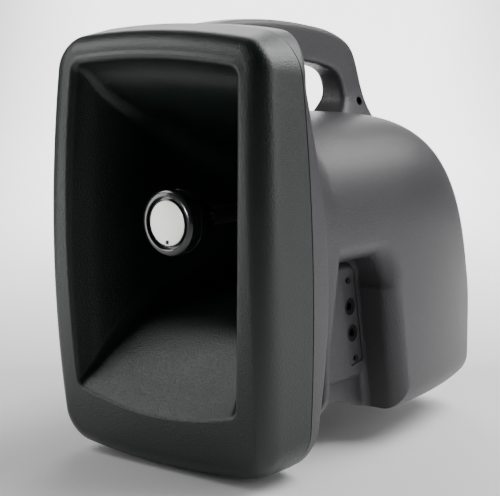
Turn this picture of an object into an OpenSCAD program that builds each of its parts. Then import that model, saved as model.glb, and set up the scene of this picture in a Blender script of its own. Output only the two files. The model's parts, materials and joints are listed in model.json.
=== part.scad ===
// Battery-powered horn megaphone with a moulded carry handle.
// Working frame: x to the right of the front view, y from the mouth to the back, z up,
// with y = 0 on the mouth plane and z = 0 at the middle of the front moulding.
// seat() moves everything to the part's own frame, whose origin is under the middle, at the base.

/* [Front moulding] */
// Half width of the front moulding at its corners
rim_w = 107; // [95:1:115]
// Half height of the front moulding at its corners
rim_h = 161.7; // [155:1:168]
// Radius of its corners
rim_corner = 31; // [25:1:38]
// How far its long sides bulge outwards
side_bow = 8.2; // [4:0.2:10]
// How far its top and bottom edges bulge outwards
end_bow = 8.4; // [4:0.2:10]
// Depth from the mouth plane to the joint with the rear housing
rim_depth = 51; // [45:1:55]
// Radius of the rounded front edge
lip_radius = 17; // [12:1:20]
// Wall thickness of the mouldings
wall = 3.2; // [2.4:0.2:4]

/* [Horn] */
// Half width of the mouth at its corners
mouth_w = 82.3; // [78:1:84]
// Top of the mouth at its corners
mouth_top = 143.2; // [138:1:145]
// Bottom of the mouth at its corners
mouth_bottom = -106.4; // [-110:1:-100]
// Corner radius of the mouth
mouth_corner = 5; // [4:1:8]
// Width of the rounding at the mouth's edge
mouth_round = 6.5; // [5:0.5:8]
// Distance from the mouth plane to the throat
horn_depth = 186; // [180:1:190]
// Radius of the throat
throat_r = 26; // [24:1:27]
// Height of the driver's axis
axis_z = 23.2; // [20:1:26]
// Radius of the centre cap
cap_r = 25.4; // [24:0.2:27]
// Radius of the disc in the centre cap
disc_r = 17.2; // [15:0.2:18]
// Distance from the mouth plane to the face of the disc
disc_y = 21.6; // [18:0.5:26]

/* [Rear housing] */
// Greatest half width of the rear housing
body_w = 109.5; // [105:0.5:111]
// Height of the top of the rear housing
body_top = 98; // [95:1:100]
// Height of its underside
body_bottom = -141; // [-144:1:-138]
// Distance from the mouth plane to its back
body_back = 340; // [334:1:344]
// Roundness of the arch across its top
arch_power = 2.8; // [2.2:0.1:3]
// Radius of its bottom edges
bottom_r = 22; // [16:1:24]

/* [Handle] */
// Width of the handle
grip_w = 24; // [22:1:30]
// Roundness of the handle's section
grip_power = 3.4; // [2.5:0.1:5]

/* [Side recess] */
// Distance from the middle plane to the floor of the recess
floor_x = 72; // [70:1:74]
// Distance from the middle plane to the face of the jack pod
pod_x = 78; // [76:1:80]
// Back edge of the recess
recess_back = 186; // [182:1:190]
// Top edge of the recess
recess_top = -9; // [-11:1:-6]
// Radius of the corner between its top and back edges
recess_corner = 24; // [20:1:30]
// Radius of the rounded edge round the recess
recess_flare = 16; // [10:1:18]
// Back edge of the pod, at its bottom
pod_back = 176; // [174:1:178]
// Top of the pod
pod_top = -17; // [-20:1:-14]
// Bottom of the pod
pod_bottom = -112; // [-116:1:-108]
// Lean of the jack panel and of the pod's back edge
panel_lean = 10; // [6:1:12]
// Distance between the two jacks
jack_step = 22.4; // [20:0.2:24]
// Width of the jack panel
pod_w = 18; // [16.5:0.5:19]
// Height of the jack panel
pod_h = 74; // [70:1:76]

/* [Rear controls] */
// Width of the control panel
ctrl_w = 124; // [116:1:128]
// Height of the control panel
ctrl_h = 72; // [68:1:76]
// Height of the middle of the control panel
ctrl_z = -62; // [-64:1:-60]
// Lean of the control panel
ctrl_lean = 9; // [8:0.5:10]
// Radius of the volume knobs
knob_r = 9; // [7:0.5:10]

/* [Hidden] */

$fn = 48;
drop = rim_h - 2.3 + end_bow;   // depth of the rim's lowest point below z = 0
screw_r = 1.9;
screw_head_r = 3.6;
small_screw_r = 1.4;
hole_gap = 0.12;       // radial gap round every fixed screw or bush
turn_gap = 0.05;       // radial gap of every turning fit
jack_bore_r = 3.2;
jack_r = 6.8;
jack_body = 13.6;
insert_r = 11;
insert_y = 194;
insert_depth = 22;
insert_bore_r = 3.97;
shaft_r = 3;
plate = 2.5;           // thickness of the two sheet panels
ctrl_y = body_back - 14;
pod_panel_z = -63;     // height of the middle of the jack panel
cover_x = 64;
cover_y0 = 216;
cover_y1 = 296;
battery = [104, 68, 56];
adapter_r = 46;
magnet_r = 34;

// x side of the head, y and z of each housing screw
screw_places = [
    [1, 253, 105], [-1, 160, -108], [-1, 316, -114], [-1, 268, 54], [-1, 150, 83], [-1, 88, 158]
];
// Control panel layout, from its middle
switch_at = [-44, 6];
microphone_at = [-14, 6];
line_at = [14, 6];
microphone_jack_at = [43, 12];
charge_jack_at = [43, -14];
lamp_at = [0, -22];
panel_screw_at = [ctrl_w / 2 - 4, ctrl_h / 2 - 4];
pod_screw_y = pod_h / 2 - 4;
cover_screw_at = [58, 226, 286];
board_screw_at = [50, 228, 286];

// ---- small helpers -------------------------------------------------------------------------
function mix(a, b, t) = a + (b - a) * t;
function power(v, n) = sign(v) * pow(abs(v), n);
function mirrored(half) =
    concat(half, [for (i = [len(half) - 2:-1:1]) [-half[i].x, half[i].y, half[i].z]]);

module seat() translate([0, -body_back / 2, drop]) children();

// Turns a cylinder's z axis to point along +y, starting at y
module along_y(x, y, z) translate([x, y, z]) rotate([-90, 0, 0]) children();

// Frame of the control panel: local x right, local y up the panel, local z out of its face
module on_ctrl(x = 0, y = 0, z = 0)
    translate([0, ctrl_y, ctrl_z]) rotate([-90 + ctrl_lean, 0, 0]) mirror([0, 1, 0])
        translate([x, y, z]) children();

// Frame of the right jack panel: local z out of its face, local y up
module on_pod(x = 0, y = 0, z = 0)
    translate([pod_x - 1, pod_back - 21.5, pod_panel_z])
        rotate([panel_lean, 0, 0]) rotate([90, 0, 90]) translate([x, y, z]) children();

// Solid through closed rings of points; loop joins the last ring to the first
module loft(rings, loop = false) {
    n = len(rings[0]);
    m = len(rings);
    spans = loop ? m : m - 1;
    walls = [for (j = [0:spans - 1], i = [0:n - 1]) let (k = (j + 1) % m, h = (i + 1) % n)
        each [[j * n + i, j * n + h, k * n + h], [j * n + i, k * n + h, k * n + i]]];
    ends = loop ? [] : [[for (i = [n - 1:-1:0]) i], [for (i = [0:n - 1]) (m - 1) * n + i]];
    polyhedron(points = [for (r = rings) each r], faces = concat(walls, ends));
}

// Sheet between two grids of points that have the same rows and columns
module thick_sheet(outside, inside) {
    n = len(outside[0]);
    m = len(outside);
    base = n * m;
    skins = [for (j = [0:m - 2], i = [0:n - 2])
        let (a = j * n + i, b = a + 1, c = a + n + 1, d = a + n)
        each [[a, c, b], [a, d, c], [base + a, base + b, base + c], [base + a, base + c, base + d]]];
    rims = [for (i = [0:n - 2]) let (a = i, b = (m - 1) * n + i)
        each [[a, base + a + 1, base + a], [a, a + 1, base + a + 1],
              [b, base + b + 1, b + 1], [b, base + b, base + b + 1]]];
    seams = [for (j = [0:m - 2]) let (a = j * n, b = a + n - 1)
        each [[a, base + a + n, a + n], [a, base + a, base + a + n],
              [b, base + b + n, base + b], [b, b + n, base + b + n]]];
    polyhedron(
        points = concat([for (r = outside) each r], [for (r = inside) each r]),
        faces = concat(skins, rims, seams));
}

// Keeps a moulding with freeform skins as one mesh
module moulded() resize([0, 0, 0]) children();

// ---- outlines ------------------------------------------------------------------------------
// Half of a bowed, rounded rectangle in x and z, from its top middle round to its bottom middle
function corner_arc(cx, cz, r, from, to, steps) =
    [for (k = [0:steps - 1]) let (t = mix(from, to, k / (steps - 1)))
        [cx + r * cos(t), cz + r * sin(t)]];

function half_rect(a, h, r) = concat(
    [for (k = [0:4]) [mix(0, a - r, k / 5), h]],
    corner_arc(a - r, h - r, r, 90, 0, 5),
    [for (k = [1:9]) [a, mix(h - r, r - h, k / 10)]],
    corner_arc(a - r, r - h, r, 0, -90, 4),
    [for (k = [1:5]) [mix(a - r, 0, k / 5), -h]]);

function bowed(points, a, h, bow_x, bow_top, bow_bottom, zc) = [for (p = points) [
    p.x * (1 + bow_x / a * (1 - pow(p.y / h, 2))),
    p.y * (1 + (p.y > 0 ? bow_top : bow_bottom) / h * (1 - pow(p.x / a, 2))) + zc]];

function outline(a, h, r, bow_x, bow_top, bow_bottom, zc) =
    bowed(half_rect(a, h, r), a, h, bow_x, bow_top, bow_bottom, zc);

// Outline of the rim, moved inwards by inset
function rim_line(inset) = outline(
    rim_w - inset, rim_h - inset, max(rim_corner - inset, 9), side_bow, end_bow, end_bow, 2.3);

// The front moulding tapers towards its face: by how much at its sides, top and bottom
side_taper = 5;
top_taper = 7;
bottom_taper = 2;

function tapered(p, amount) = [
    p.x * (1 - amount * side_taper / rim_w),
    p.y * (1 - amount * (p.y > 0 ? top_taper : bottom_taper) / rim_h)];

// The rim's face curves back towards its top and bottom, and its joint leans
function face_y(z) = 7.6 * pow(z / 156, 2);
function joint_y(z) = rim_depth - 6.2 * z / 156;

// ---- horn moulding -------------------------------------------------------------------------
// Rings between the face (share 0) and the joint (share 1), with y counted from the face
function rim_ring(inset, y, share) = [for (q = rim_line(inset)) let (p = tapered(q, 1 - share))
    [p.x, y + mix(face_y(p.y), joint_y(p.y) - rim_depth, share), p.y]];

mouth_mid = (mouth_top + mouth_bottom) / 2;
mouth_h = (mouth_top - mouth_bottom) / 2;

function mouth_ring(grow, y) = let (a = mouth_w + grow, h = mouth_h + grow)
    [for (p = outline(a, h, mouth_corner + grow, 3.8, 5, 11.5, mouth_mid)) [p.x, y + face_y(p.y), p.y]];

// Horn stations: distance from the mouth, half width, top, bottom, corner radius
horn_stations = [
    [12.5, 80.2, 139, -98.5, 6], [26, 74, 124, -82, 8], [52, 64.5, 106, -57, 11], [82, 60, 93, -44, 17],
    [116, 51, 77, -33, 25], [150, 38, 62, -18, 30]
];

// Bowing of the horn's sides fades with depth
function horn_ring(s, grow) = let (fade = max(0, 1 - s[0] / 90), h = (s[2] - s[3]) / 2 + grow)
    [for (p = outline(s[1] + grow, h, s[4] + grow, 3 * fade, 4 * fade, 9 * fade, (s[2] + s[3]) / 2))
        [p.x, s[0] + fade * face_y(p.y), p.y]];

function throat_ring(r, y) =
    [for (k = [0:27]) let (t = 90 - 180 * k / 27) [r * cos(t), y, r * sin(t) + axis_z]];

// Band between the rim's outer edge and the mouth: its width and the way across it at each point
mouth_edge = mouth_ring(0, 0);
band = [for (i = [0:len(mouth_edge) - 1]) mouth_edge[i] - rim_ring(0, 0, 0)[i]];
band_w = [for (b = band) norm([b.x, b.z])];
inwards = [for (i = [0:len(band) - 1]) [band[i].x, 0, band[i].z] / band_w[i]];

// Rounding of the rim's outer edge, from 0 at the side to 90 at the band
function lip_ring(t) = let (ring = rim_ring(0, lip_radius * (1 - sin(t)), (1 - sin(t)) * 0.4))
    [for (i = [0:len(ring) - 1]) ring[i] + inwards[i] * min(lip_radius, 0.62 * band_w[i]) * (1 - cos(t))];

// Rounding of the mouth's edge, 0 at the band
function edge_ring(t) = [for (i = [0:len(band) - 1])
    mouth_edge[i] - inwards[i] * min(mouth_round, 0.3 * band_w[i]) * (1 - sin(t)) + [0, 8 * (1 - cos(t)), 0]];

module horn_moulding() color([0.10, 0.10, 0.11]) seat() {
    back_of_lip = 4;
    halves = concat(
        [rim_ring(0, rim_depth - 0.6, 1), rim_ring(0, 30, 0.6)],
        [for (t = [0:15:90]) lip_ring(t)],
        [for (t = [0:20:80]) edge_ring(t)],
        [for (s = horn_stations) horn_ring(s, 0)],
        [throat_ring(throat_r, horn_depth), throat_ring(throat_r + 9, horn_depth),
         throat_ring(throat_r + 9, horn_depth - 4)],
        [for (k = [len(horn_stations) - 1:-1:0]) horn_ring(horn_stations[k], wall)],
        [mouth_ring(7, back_of_lip + 4), rim_ring(wall + 9, 12, 0.3), rim_ring(wall, 24, 0.5),
         rim_ring(wall, rim_depth - 0.6, 1)]);
    moulded() loft([for (h = halves) mirrored(h)], loop = true);
}

function seal_ring(inset, y) = mirrored([for (p = rim_line(inset)) [p.x, joint_y(p.y) + y, p.y]]);

module rim_seal() color([0.03, 0.03, 0.03]) seat()
    loft([
        seal_ring(1.6, 1), seal_ring(1.6, -0.5), seal_ring(wall + 1, -0.5), seal_ring(wall + 1, 1)],
        loop = true);

// ---- rear housing --------------------------------------------------------------------------
// Back edge of the flange: deepest along the middle of each side, shallow at the corners
function flange_y(x, z) =
    50 + 25 * (1 - min(1, pow(abs(x) / 112, 4)) * min(1, pow((z + 45) / 170, 2)));

// Half width and top height of the rear housing, by distance from the mouth
function taper(y) = y < 160 ? 0 : pow((y - 160) / (body_back - 160), 2.3);
function back_round(y, r) =
    y < body_back - r ? 0 : 1 - sqrt(max(0, 1 - pow((y - body_back + r) / r, 2)));
function body_half(y) = body_w - 30 * taper(y) - 21 * back_round(y, 21);
function body_height(y) = let (t = max(0, (y - 199) / (body_back - 199)))
    body_top - 26 * t * t - 171 * (1 - pow(max(0, 1 - pow(t, 5.4)), 1 / 1.4));

// The underside steps up towards the front
function body_under(y) =
    body_bottom + 15.5 * (0.5 + 0.5 * cos(180 * max(0, min(1, (y - 124) / 68)))) + 9 * back_round(y, 9);

// Half section of the rear housing at distance y, moved inwards by inset
function body_section(y, inset) = let (
    a = body_half(y) - inset,
    top = body_height(y) - inset,
    low = body_under(y) + inset,
    arch = min(105, (top - low) * 0.62),
    spring = top - arch,
    r = min(bottom_r - inset, (top - low) * 0.25))
    concat(
        [for (k = [0:13]) let (t = 90 * k / 13)
            [a * power(sin(t), 2 / arch_power), spring + arch * power(cos(t), 2 / arch_power)]],
        [for (k = [1:4]) [a, mix(spring, low + r, k / 5)]],
        corner_arc(a - r, low + r, r, 0, -90, 5),
        [for (k = [1:5]) [mix(a - r, 0, k / 5), low]]);

blend_end = 98;

// The flange's back dishes inwards and turns into the rear housing: gently on top, sharply below
function blend_y(z, start) = mix(start + 5, blend_end, max(0, min(1, (z + 70) / 70)));

function dish(t, inset) = let (from = rim_line(7 + inset * 0.6), to = body_section(blend_end, inset))
    [for (i = [0:len(from) - 1]) let (
        p = [mix(from[i].x, to[i].x, t), mix(from[i].y, to[i].y, t)],
        start = flange_y(from[i].x, from[i].y) - inset)
        [p.x, mix(start, blend_y(to[i].y, start), 1 - sqrt(1 - t * t)), p.y]];

function flange_ring(inset, share, back) = [for (p = rim_line(inset))
    [p.x, mix(joint_y(p.y) + 1.2, flange_y(p.x, p.y) - back, share), p.y]];

body_stations = [
    124, 134, 144, 155, 166, 178, 192, 215, 240, 262, 282, 298, 310, 319, 326, 331, 335, 338, 339.4];

function housing_skin(inset) = let (last = body_section(body_back - 0.6, inset), n = len(last)) concat(
    [flange_ring(0.6 + inset, 0, 0), flange_ring(0.6 + inset, 1, 5 + inset),
     flange_ring(2.4 + inset, 1, 1.4 + inset)],
    [for (t = [0, 0.25, 0.5, 0.7, 0.86, 0.96, 1]) dish(t, inset)],
    [for (y = body_stations)
        [for (p = body_section(y, inset)) [p.x, y - inset * pow(y / body_back, 6), p.y]]],
    [[for (i = [0:n - 1])
        [0, body_back - inset, mix(last[0].y - 1, last[n - 1].y + 1, i / (n - 1))]]]);

// Side view of the handle: matching points on its top and on its underside
grip_top = [
    [60, 172], [100, 175], [135, 175], [165, 173], [190, 170], [214, 166], [236, 158.5], [249, 149],
    [257, 134], [262, 118], [267, 102], [276, 86]
];
grip_under = [
    [60, 143], [100, 143.5], [132, 143.5], [160, 142], [186, 139.5], [205, 136.5], [219, 132.5],
    [228, 126.5], [233, 117], [233.5, 108], [229, 100], [218, 87]
];

function grip_skin(inset) = [for (j = [0:len(grip_top) - 1]) let (
    mid = (grip_top[j] + grip_under[j]) / 2,
    up = (grip_top[j] - grip_under[j]) / 2,
    size = norm(up),
    swell = j > 8 ? pow((j - 8) / 3, 2) * 10 : 0)
    [for (k = [0:11]) let (t = 180 * k / 11, c = power(cos(t), 2 / grip_power) * (1 - inset / size))
        [(grip_w / 2 + swell - inset) * power(sin(t), 2 / grip_power),
         mid.x + up.x * c, mid.y + up.y * c]]];

// Side outline of the recess, grown outwards by grow; its back edge leans
module recess_side(grow, front) {
    r = recess_corner;
    lean = (recess_top - r - body_bottom + 10) * tan(panel_lean);
    hull() {
        translate([front, body_bottom - 20]) square([recess_back + grow - front, 10]);
        translate([front, -75]) square([10, 1]);
        translate([front + 14, recess_top - r]) square([10, r + grow]);
        translate([recess_back - r - lean, recess_top - r]) circle(r + grow, $fn = 32);
    }
}

recess_front = 79;

// Right-hand recess from a given distance outwards
module recess_block(x, length, grow, front = recess_front)
    translate([x, 0, 0]) rotate([90, 0, 90]) linear_extrude(length) recess_side(grow, front);

// Walls round the recess, kept inside the housing's skin
module recess_walls() intersection() {
    recess_block(floor_x - wall, body_w - 2 - floor_x + wall, wall, recess_front - wall);
    loft([for (y = [215, 192, 166, 144, 124, 98, 60])
        mirrored([for (p = body_section(y, 1)) [p.x, y, p.y]])]);
}

// Side outline of the pod, moved inwards; its back edge leans
module pod_side(inset, r) hull() {
    translate([72, pod_bottom + inset]) square([10, pod_top - pod_bottom - 2 * inset]);
    for (z = [pod_bottom + inset + r, pod_top - inset - r])
        translate([pod_back - (z - pod_bottom) * tan(panel_lean) - inset - r, z]) circle(r, $fn = 24);
}

module pod_slice(x, length, inset, r)
    translate([x, 0, 0]) rotate([90, 0, 90]) linear_extrude(length) pod_side(inset, r);

// Jack pod with a crowned face; inset makes the space inside it
module pod_block(inset) {
    r = 12 - inset;
    back = floor_x - wall / 2;
    pod_slice(back, pod_x - 4 - back - inset, inset, r);
    hull() {
        pod_slice(pod_x - 5 - inset, 1, inset, r);
        pod_slice(pod_x - 1 - inset, 1, inset + 3, r - 3);
    }
}

// Depths of a housing screw: where its head sits, and the end of its boss
function in_handle(p) = p[2] > 100;
function screw_x(p) = in_handle(p) ? 5 : 14;
function boss_x(p) = in_handle(p) ? grip_w / 2 - 1 : 24;

// A boss outside the handle hangs on a rib from the nearest skin
module screw_boss(p) {
    across(p, 0, boss_x(p), 6.5);
    edge = p[2] > 0 ? body_height(p[1]) - 1.6 : body_under(p[1]) + 1.6;
    if (!in_handle(p)) translate([0, p[1] - 3, min(p[2], edge)]) cube([boss_x(p), 6, abs(edge - p[2])]);
}

module across(p, x0, x1, r, sides = 20)
    translate([min(x0, x1), p[1], p[2]]) rotate([0, 90, 0]) cylinder(r = r, h = abs(x1 - x0), $fn = sides);

// Box on the control panel's frame, centred across and along it
module ctrl_box(size, z0, at = [0, 0]) on_ctrl(at.x - size.x / 2, at.y - size.y / 2, z0) cube(size);

// Half of the rear housing; side is 1 for the right and -1 for the left, drawn as a right half
module housing_half(side) {
    module skin() {
        thick_sheet(housing_skin(0), housing_skin(wall));
        thick_sheet(grip_skin(0), grip_skin(wall));
    }
    module inner_walls() {
        recess_walls();
        intersection() {
            ctrl_box([ctrl_w + 8, ctrl_h + 8, 9], -5.5);
            translate([0, 250, -126]) cube([100, body_back - 251, 120]);
        }
        translate([0, insert_y, body_bottom]) cylinder(r = insert_r + 4, h = 26);
        for (p = screw_places) screw_boss(p);
    }
    module cuts() {
        recess_block(floor_x, 60, 0);
        hull() {
            recess_block(body_w - recess_flare, 1, 0);
            recess_block(body_w + 1, 1, recess_flare + 1);
        }
        ctrl_box([ctrl_w + 0.6, ctrl_h + 0.6, 60], -plate);
        ctrl_box([ctrl_w - 16, ctrl_h - 16, 40], -20);
        for (y = [-1, 1]) on_ctrl(panel_screw_at.x, y * panel_screw_at.y, -10)
            cylinder(r = small_screw_r + hole_gap, h = 20, $fn = 16);
        translate([0, insert_y, body_bottom - 1]) cylinder(r = insert_r + hole_gap, h = insert_depth + 1.2);
        translate([-1, cover_y0, body_bottom - 1]) cube([cover_x + 1, cover_y1 - cover_y0, 30]);
        for (p = screw_places) {
            across(p, -1, boss_x(p) - 2.4, screw_r + hole_gap);
            if (p[0] * side > 0) across(p, -1, screw_x(p) + 1, screw_r + 2 * hole_gap);
            if (p[0] * side > 0) across(p, screw_x(p), 130, screw_head_r + hole_gap);
        }
        translate([-70, 0, -200]) cube([70, 400, 400]);
    }
    difference() {
        union() {
            difference() {
                union() {
                    skin();
                    inner_walls();
                }
                cuts();
            }
            pod_block(0);
        }
        difference() {
            pod_block(3);
            on_pod(-20, -50, -6) cube([40, 100, 12]);
        }
        pod_slice(floor_x - wall - 1, wall + 0.6, 3.2, 8.8);
        on_pod(-7.2, 6 - pod_screw_y, -12) cube([14.4, 2 * pod_screw_y - 12, 20]);
        on_pod(-pod_w / 2 - 0.2, -pod_h / 2 - 0.2, -plate) cube([pod_w + 0.4, pod_h + 0.4, 14]);
        for (y = [-1, 1])
            on_pod(0, y * pod_screw_y, -12) cylinder(r = small_screw_r + hole_gap, h = 20, $fn = 16);
    }
}

module rear_housing_right() color([0.22, 0.22, 0.23]) seat() moulded() housing_half(1);

module rear_housing_left() color([0.20, 0.20, 0.21]) seat() moulded() mirror([1, 0, 0]) housing_half(-1);

// ---- horn's centre plug --------------------------------------------------------------------
// Turned part about the driver's axis; points are [radius, distance from the mouth]
module turned(points) translate([0, 0, axis_z]) rotate([-90, 0, 0]) rotate_extrude() polygon(points);

module centre_cap() color([0.05, 0.05, 0.05]) seat() {
    f = disc_y;
    turned([[0, f + 1.4], [disc_r + 0.2, f + 1.4], [disc_r + 0.2, f - 0.1], [disc_r + 1, f - 0.2],
        [disc_r + 1.4, f + 3], [disc_r + 3, f + 3], [disc_r + 3.5, f + 0.6], [cap_r - 2.2, f - 0.6],
        [cap_r - 0.6, f + 0.2], [cap_r, f + 2], [cap_r, f + 12], [cap_r - 3, f + 13], [cap_r - 3, f + 19],
        [14, f + 36], [10, f + 44], [7 + hole_gap, f + 44], [7 + hole_gap, f + 30], [0, f + 30]]);
}

module cap_disc() color([0.93, 0.93, 0.90]) seat() turned([
    [0, disc_y], [disc_r - 0.3, disc_y], [disc_r, disc_y + 0.3],
    [disc_r, disc_y + 1.4], [0, disc_y + 1.4]]);

module plug_stem() color([0.09, 0.09, 0.09]) seat() along_y(0, disc_y + 30, axis_z)
    cylinder(r = 7, h = horn_depth + 7 - disc_y - 30);

module plug_spider() color([0.12, 0.12, 0.12]) seat() along_y(0, horn_depth + 1, axis_z) difference() {
    union() {
        cylinder(r = 10.5, h = 6);
        difference() {
            cylinder(r = throat_r - hole_gap, h = 6);
            translate([0, 0, -1]) cylinder(r = throat_r - 3, h = 8);
        }
        for (a = [90, 210, 330])
            rotate([0, 0, a]) translate([8.5, -1.6, 0.5]) cube([throat_r - 10.5, 3.2, 5]);
    }
    translate([0, 0, -1]) cylinder(r = 7 + hole_gap, h = 8);
}

// ---- compression driver --------------------------------------------------------------------
driver_y = horn_depth + 8;

module driver_screw_ring(r, h)
    for (a = [45:90:315]) rotate([0, 0, a]) translate([40, 0, 0]) cylinder(r = r, h = h);

module throat_adapter() color([0.55, 0.55, 0.56]) seat() along_y(0, horn_depth, axis_z) difference() {
    cylinder(r = adapter_r, h = 8);
    translate([0, 0, -1]) cylinder(r = throat_r, h = 10);
    translate([0, 0, 2]) driver_screw_ring(screw_r + hole_gap, 8);
}

module driver_front_plate() color([0.60, 0.60, 0.62]) seat() along_y(0, driver_y, axis_z) difference() {
    cylinder(r = adapter_r, h = 8);
    translate([0, 0, -1]) cylinder(r = throat_r, h = 10);
    translate([0, 0, -1]) driver_screw_ring(screw_r + hole_gap, 10);
}

module driver_diaphragm() color([0.75, 0.70, 0.55]) seat() turned([
    for (t = [0:10:60]) [21.5 * sin(t) / sin(60), driver_y + 7.2 - 6 * (cos(t) - 0.5) / 0.5],
    [throat_r - 0.2, driver_y + 7.2], [throat_r - 0.2, driver_y + 8],
    for (t = [60:-10:0]) [21.5 * sin(t) / sin(60), driver_y + 8 - 6 * (cos(t) - 0.5) / 0.5]]);

// Ring about the driver's axis
module driver_ring(inner, outer, from, to)
    turned([[inner, driver_y + from], [outer, driver_y + from],
            [outer, driver_y + to], [inner, driver_y + to]]);

module driver_top_plate() color([0.50, 0.50, 0.52]) seat() driver_ring(20.5, magnet_r, 8, 13);

module driver_magnet() color([0.16, 0.16, 0.17]) seat() driver_ring(22, magnet_r, 13, 28);

module driver_yoke() color([0.50, 0.50, 0.52]) seat()
    turned([[0, driver_y + 10], [18, driver_y + 10], [18, driver_y + 28], [magnet_r, driver_y + 28],
        [magnet_r, driver_y + 33], [0, driver_y + 33]]);

module driver_cover() color([0.08, 0.08, 0.08]) seat() {
    r = magnet_r + 2.6;
    turned([[0, driver_y + 34], [r - 2, driver_y + 34], [r - 2, driver_y + 8], [r, driver_y + 8],
        [r, driver_y + 33], [r - 3, driver_y + 36], [0, driver_y + 36]]);
}

module driver_screws() color([0.70, 0.70, 0.72]) seat() along_y(0, horn_depth + 3, axis_z) {
    driver_screw_ring(screw_r, 13);
    translate([0, 0, 13]) driver_screw_ring(2.9, 2.4);
}

// ---- side panels and jacks -----------------------------------------------------------------
module pod_plate() on_pod(-pod_w / 2, -pod_h / 2, -plate) cube([pod_w, pod_h, plate]);

module pod_plate_holes() for (y = [-1, 1])
    on_pod(0, y * pod_screw_y, -plate - 1) cylinder(r = small_screw_r + hole_gap, h = plate + 2);

module jack_panel_right() color([0.26, 0.26, 0.27]) seat() difference() {
    pod_plate();
    pod_plate_holes();
    for (y = [-1, 1])
        on_pod(0, y * jack_step / 2, -plate - 1) cylinder(r = jack_r + hole_gap, h = plate + 2);
}

module jack_panel_left() color([0.26, 0.26, 0.27]) seat() mirror([1, 0, 0]) difference() {
    pod_plate();
    pod_plate_holes();
}

module jack_panel_screws() color([0.10, 0.10, 0.10]) seat()
    for (side = [0, 1], y = [-1, 1]) mirror([side, 0, 0]) on_pod(0, y * pod_screw_y, -7) {
        cylinder(r = small_screw_r, h = 7);
        translate([0, 0, 7]) cylinder(r = 2.4, h = 1.4);
    }

// Jack behind a panel whose face is at z = 0; face is how far its bush stands back
module jack(bush_r, bore_r, depth, face) difference() {
    union() {
        translate([0, 0, -9]) cylinder(r = bush_r, h = 9 - face);
        translate([-jack_body / 2, -jack_body / 2, -depth - 3]) cube([jack_body, jack_body, depth - 6]);
    }
    translate([0, 0, -depth - face]) cylinder(r = bore_r, h = depth + 5);
}

module side_jack(y) color([0.05, 0.05, 0.05]) seat() on_pod(0, y, 0) jack(jack_r, jack_bore_r, 26, 0.8);

module side_jack_upper() side_jack(jack_step / 2);

module side_jack_lower() side_jack(-jack_step / 2);

// ---- base and fasteners --------------------------------------------------------------------
module stand_insert() color([0.72, 0.58, 0.28]) seat() translate([0, insert_y, body_bottom]) difference() {
    cylinder(r = insert_r, h = insert_depth);
    translate([0, 0, -1]) cylinder(r = insert_bore_r, h = 19);
}

module rear_feet() color([0.04, 0.04, 0.04]) seat() for (side = [-1, 1])
    translate([side * 56, 316, body_bottom - 3]) cylinder(r1 = 7.2, r2 = 8, h = 3);

module housing_screws() color([0.08, 0.08, 0.08]) seat() for (p = screw_places) {
    head = screw_x(p);
    across(p, p[0] * (head + 2.6), p[0] * head, screw_head_r, 48);
    across(p, p[0] * head, p[0] * (3.4 - boss_x(p)), screw_r, 48);
}

// ---- battery -------------------------------------------------------------------------------
battery_y0 = 222;
tray_bottom = body_bottom + wall + 0.2;
tray_top = body_bottom + 66;

module at_corners(places, z) for (side = [-1, 1], y = [places[1], places[2]])
    translate([side * places[0], y, z]) children();

module battery_pack() color([0.20, 0.28, 0.42]) seat() {
    translate([-battery.x / 2, battery_y0, tray_bottom + 1.4]) cube(battery);
    for (side = [-1, 1]) translate([side * 40, battery_y0 + 10, tray_bottom + 1.4 + battery.z])
        cylinder(r = 3, h = 1.2);
}

module battery_tray() color([0.14, 0.14, 0.15]) seat() difference() {
    union() {
        translate([-63, battery_y0 - 3, tray_bottom]) cube([126, battery.y + 6, tray_top - tray_bottom]);
        translate([-70, cover_y0 - 5, tray_bottom]) cube([140, cover_y1 - cover_y0 + 10, 2]);
        at_corners(board_screw_at, tray_top - 1) cylinder(r = 3.2, h = 6);
    }
    translate([-battery.x / 2 - 1, battery_y0 - 1, tray_bottom - 1])
        cube([battery.x + 2, battery.y + 2, 60.5]);
    at_corners(cover_screw_at, tray_bottom - 1) cylinder(r = small_screw_r + hole_gap, h = 14);
    at_corners(board_screw_at, tray_top - 1) cylinder(r = small_screw_r + hole_gap, h = 8);
}

module battery_cover() color([0.21, 0.21, 0.22]) seat() difference() {
    translate([0.3 - cover_x, cover_y0 + 0.3, body_bottom])
        cube([2 * cover_x - 0.6, cover_y1 - cover_y0 - 0.6, 3]);
    at_corners(cover_screw_at, body_bottom - 1) cylinder(r = small_screw_r + hole_gap, h = 6);
    at_corners(cover_screw_at, body_bottom - 1) cylinder(r = 3, h = 2.6);
    for (side = [-1, 1])
        translate([side * 14 - 6, cover_y0 + 8, body_bottom - 1]) cube([12, 3, 2.2]);
}

module battery_cover_screws() color([0.55, 0.55, 0.57]) seat() {
    at_corners(cover_screw_at, body_bottom + 1.6) cylinder(r = small_screw_r, h = 12);
    at_corners(cover_screw_at, body_bottom + 0.2) cylinder(r = 2.8, h = 1.4);
}

// ---- amplifier -----------------------------------------------------------------------------
board_z = tray_top + 5;

module amplifier_board() color([0.10, 0.32, 0.16]) seat() difference() {
    union() {
        translate([-58, cover_y0 + 4, board_z]) cube([116, 72, 1.6]);
        for (x = [14, 30, 44]) translate([x, 246, board_z + 1]) cylinder(r = 6, h = 17);
        for (x = [8, 24, 40]) translate([x, 264, board_z + 1]) cube([9, 14, 10]);
        translate([-20, 226, board_z + 1]) cube([34, 9, 9]);
    }
    at_corners(board_screw_at, board_z - 1) cylinder(r = small_screw_r + hole_gap, h = 4);
}

module heat_sink() color([0.66, 0.67, 0.68]) seat() translate([-44, 242, board_z + 1.6]) {
    cube([48, 38, 3]);
    for (k = [0:7]) translate([k * 6.5, 0, 2.9]) cube([2, 38, 16]);
}

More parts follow.
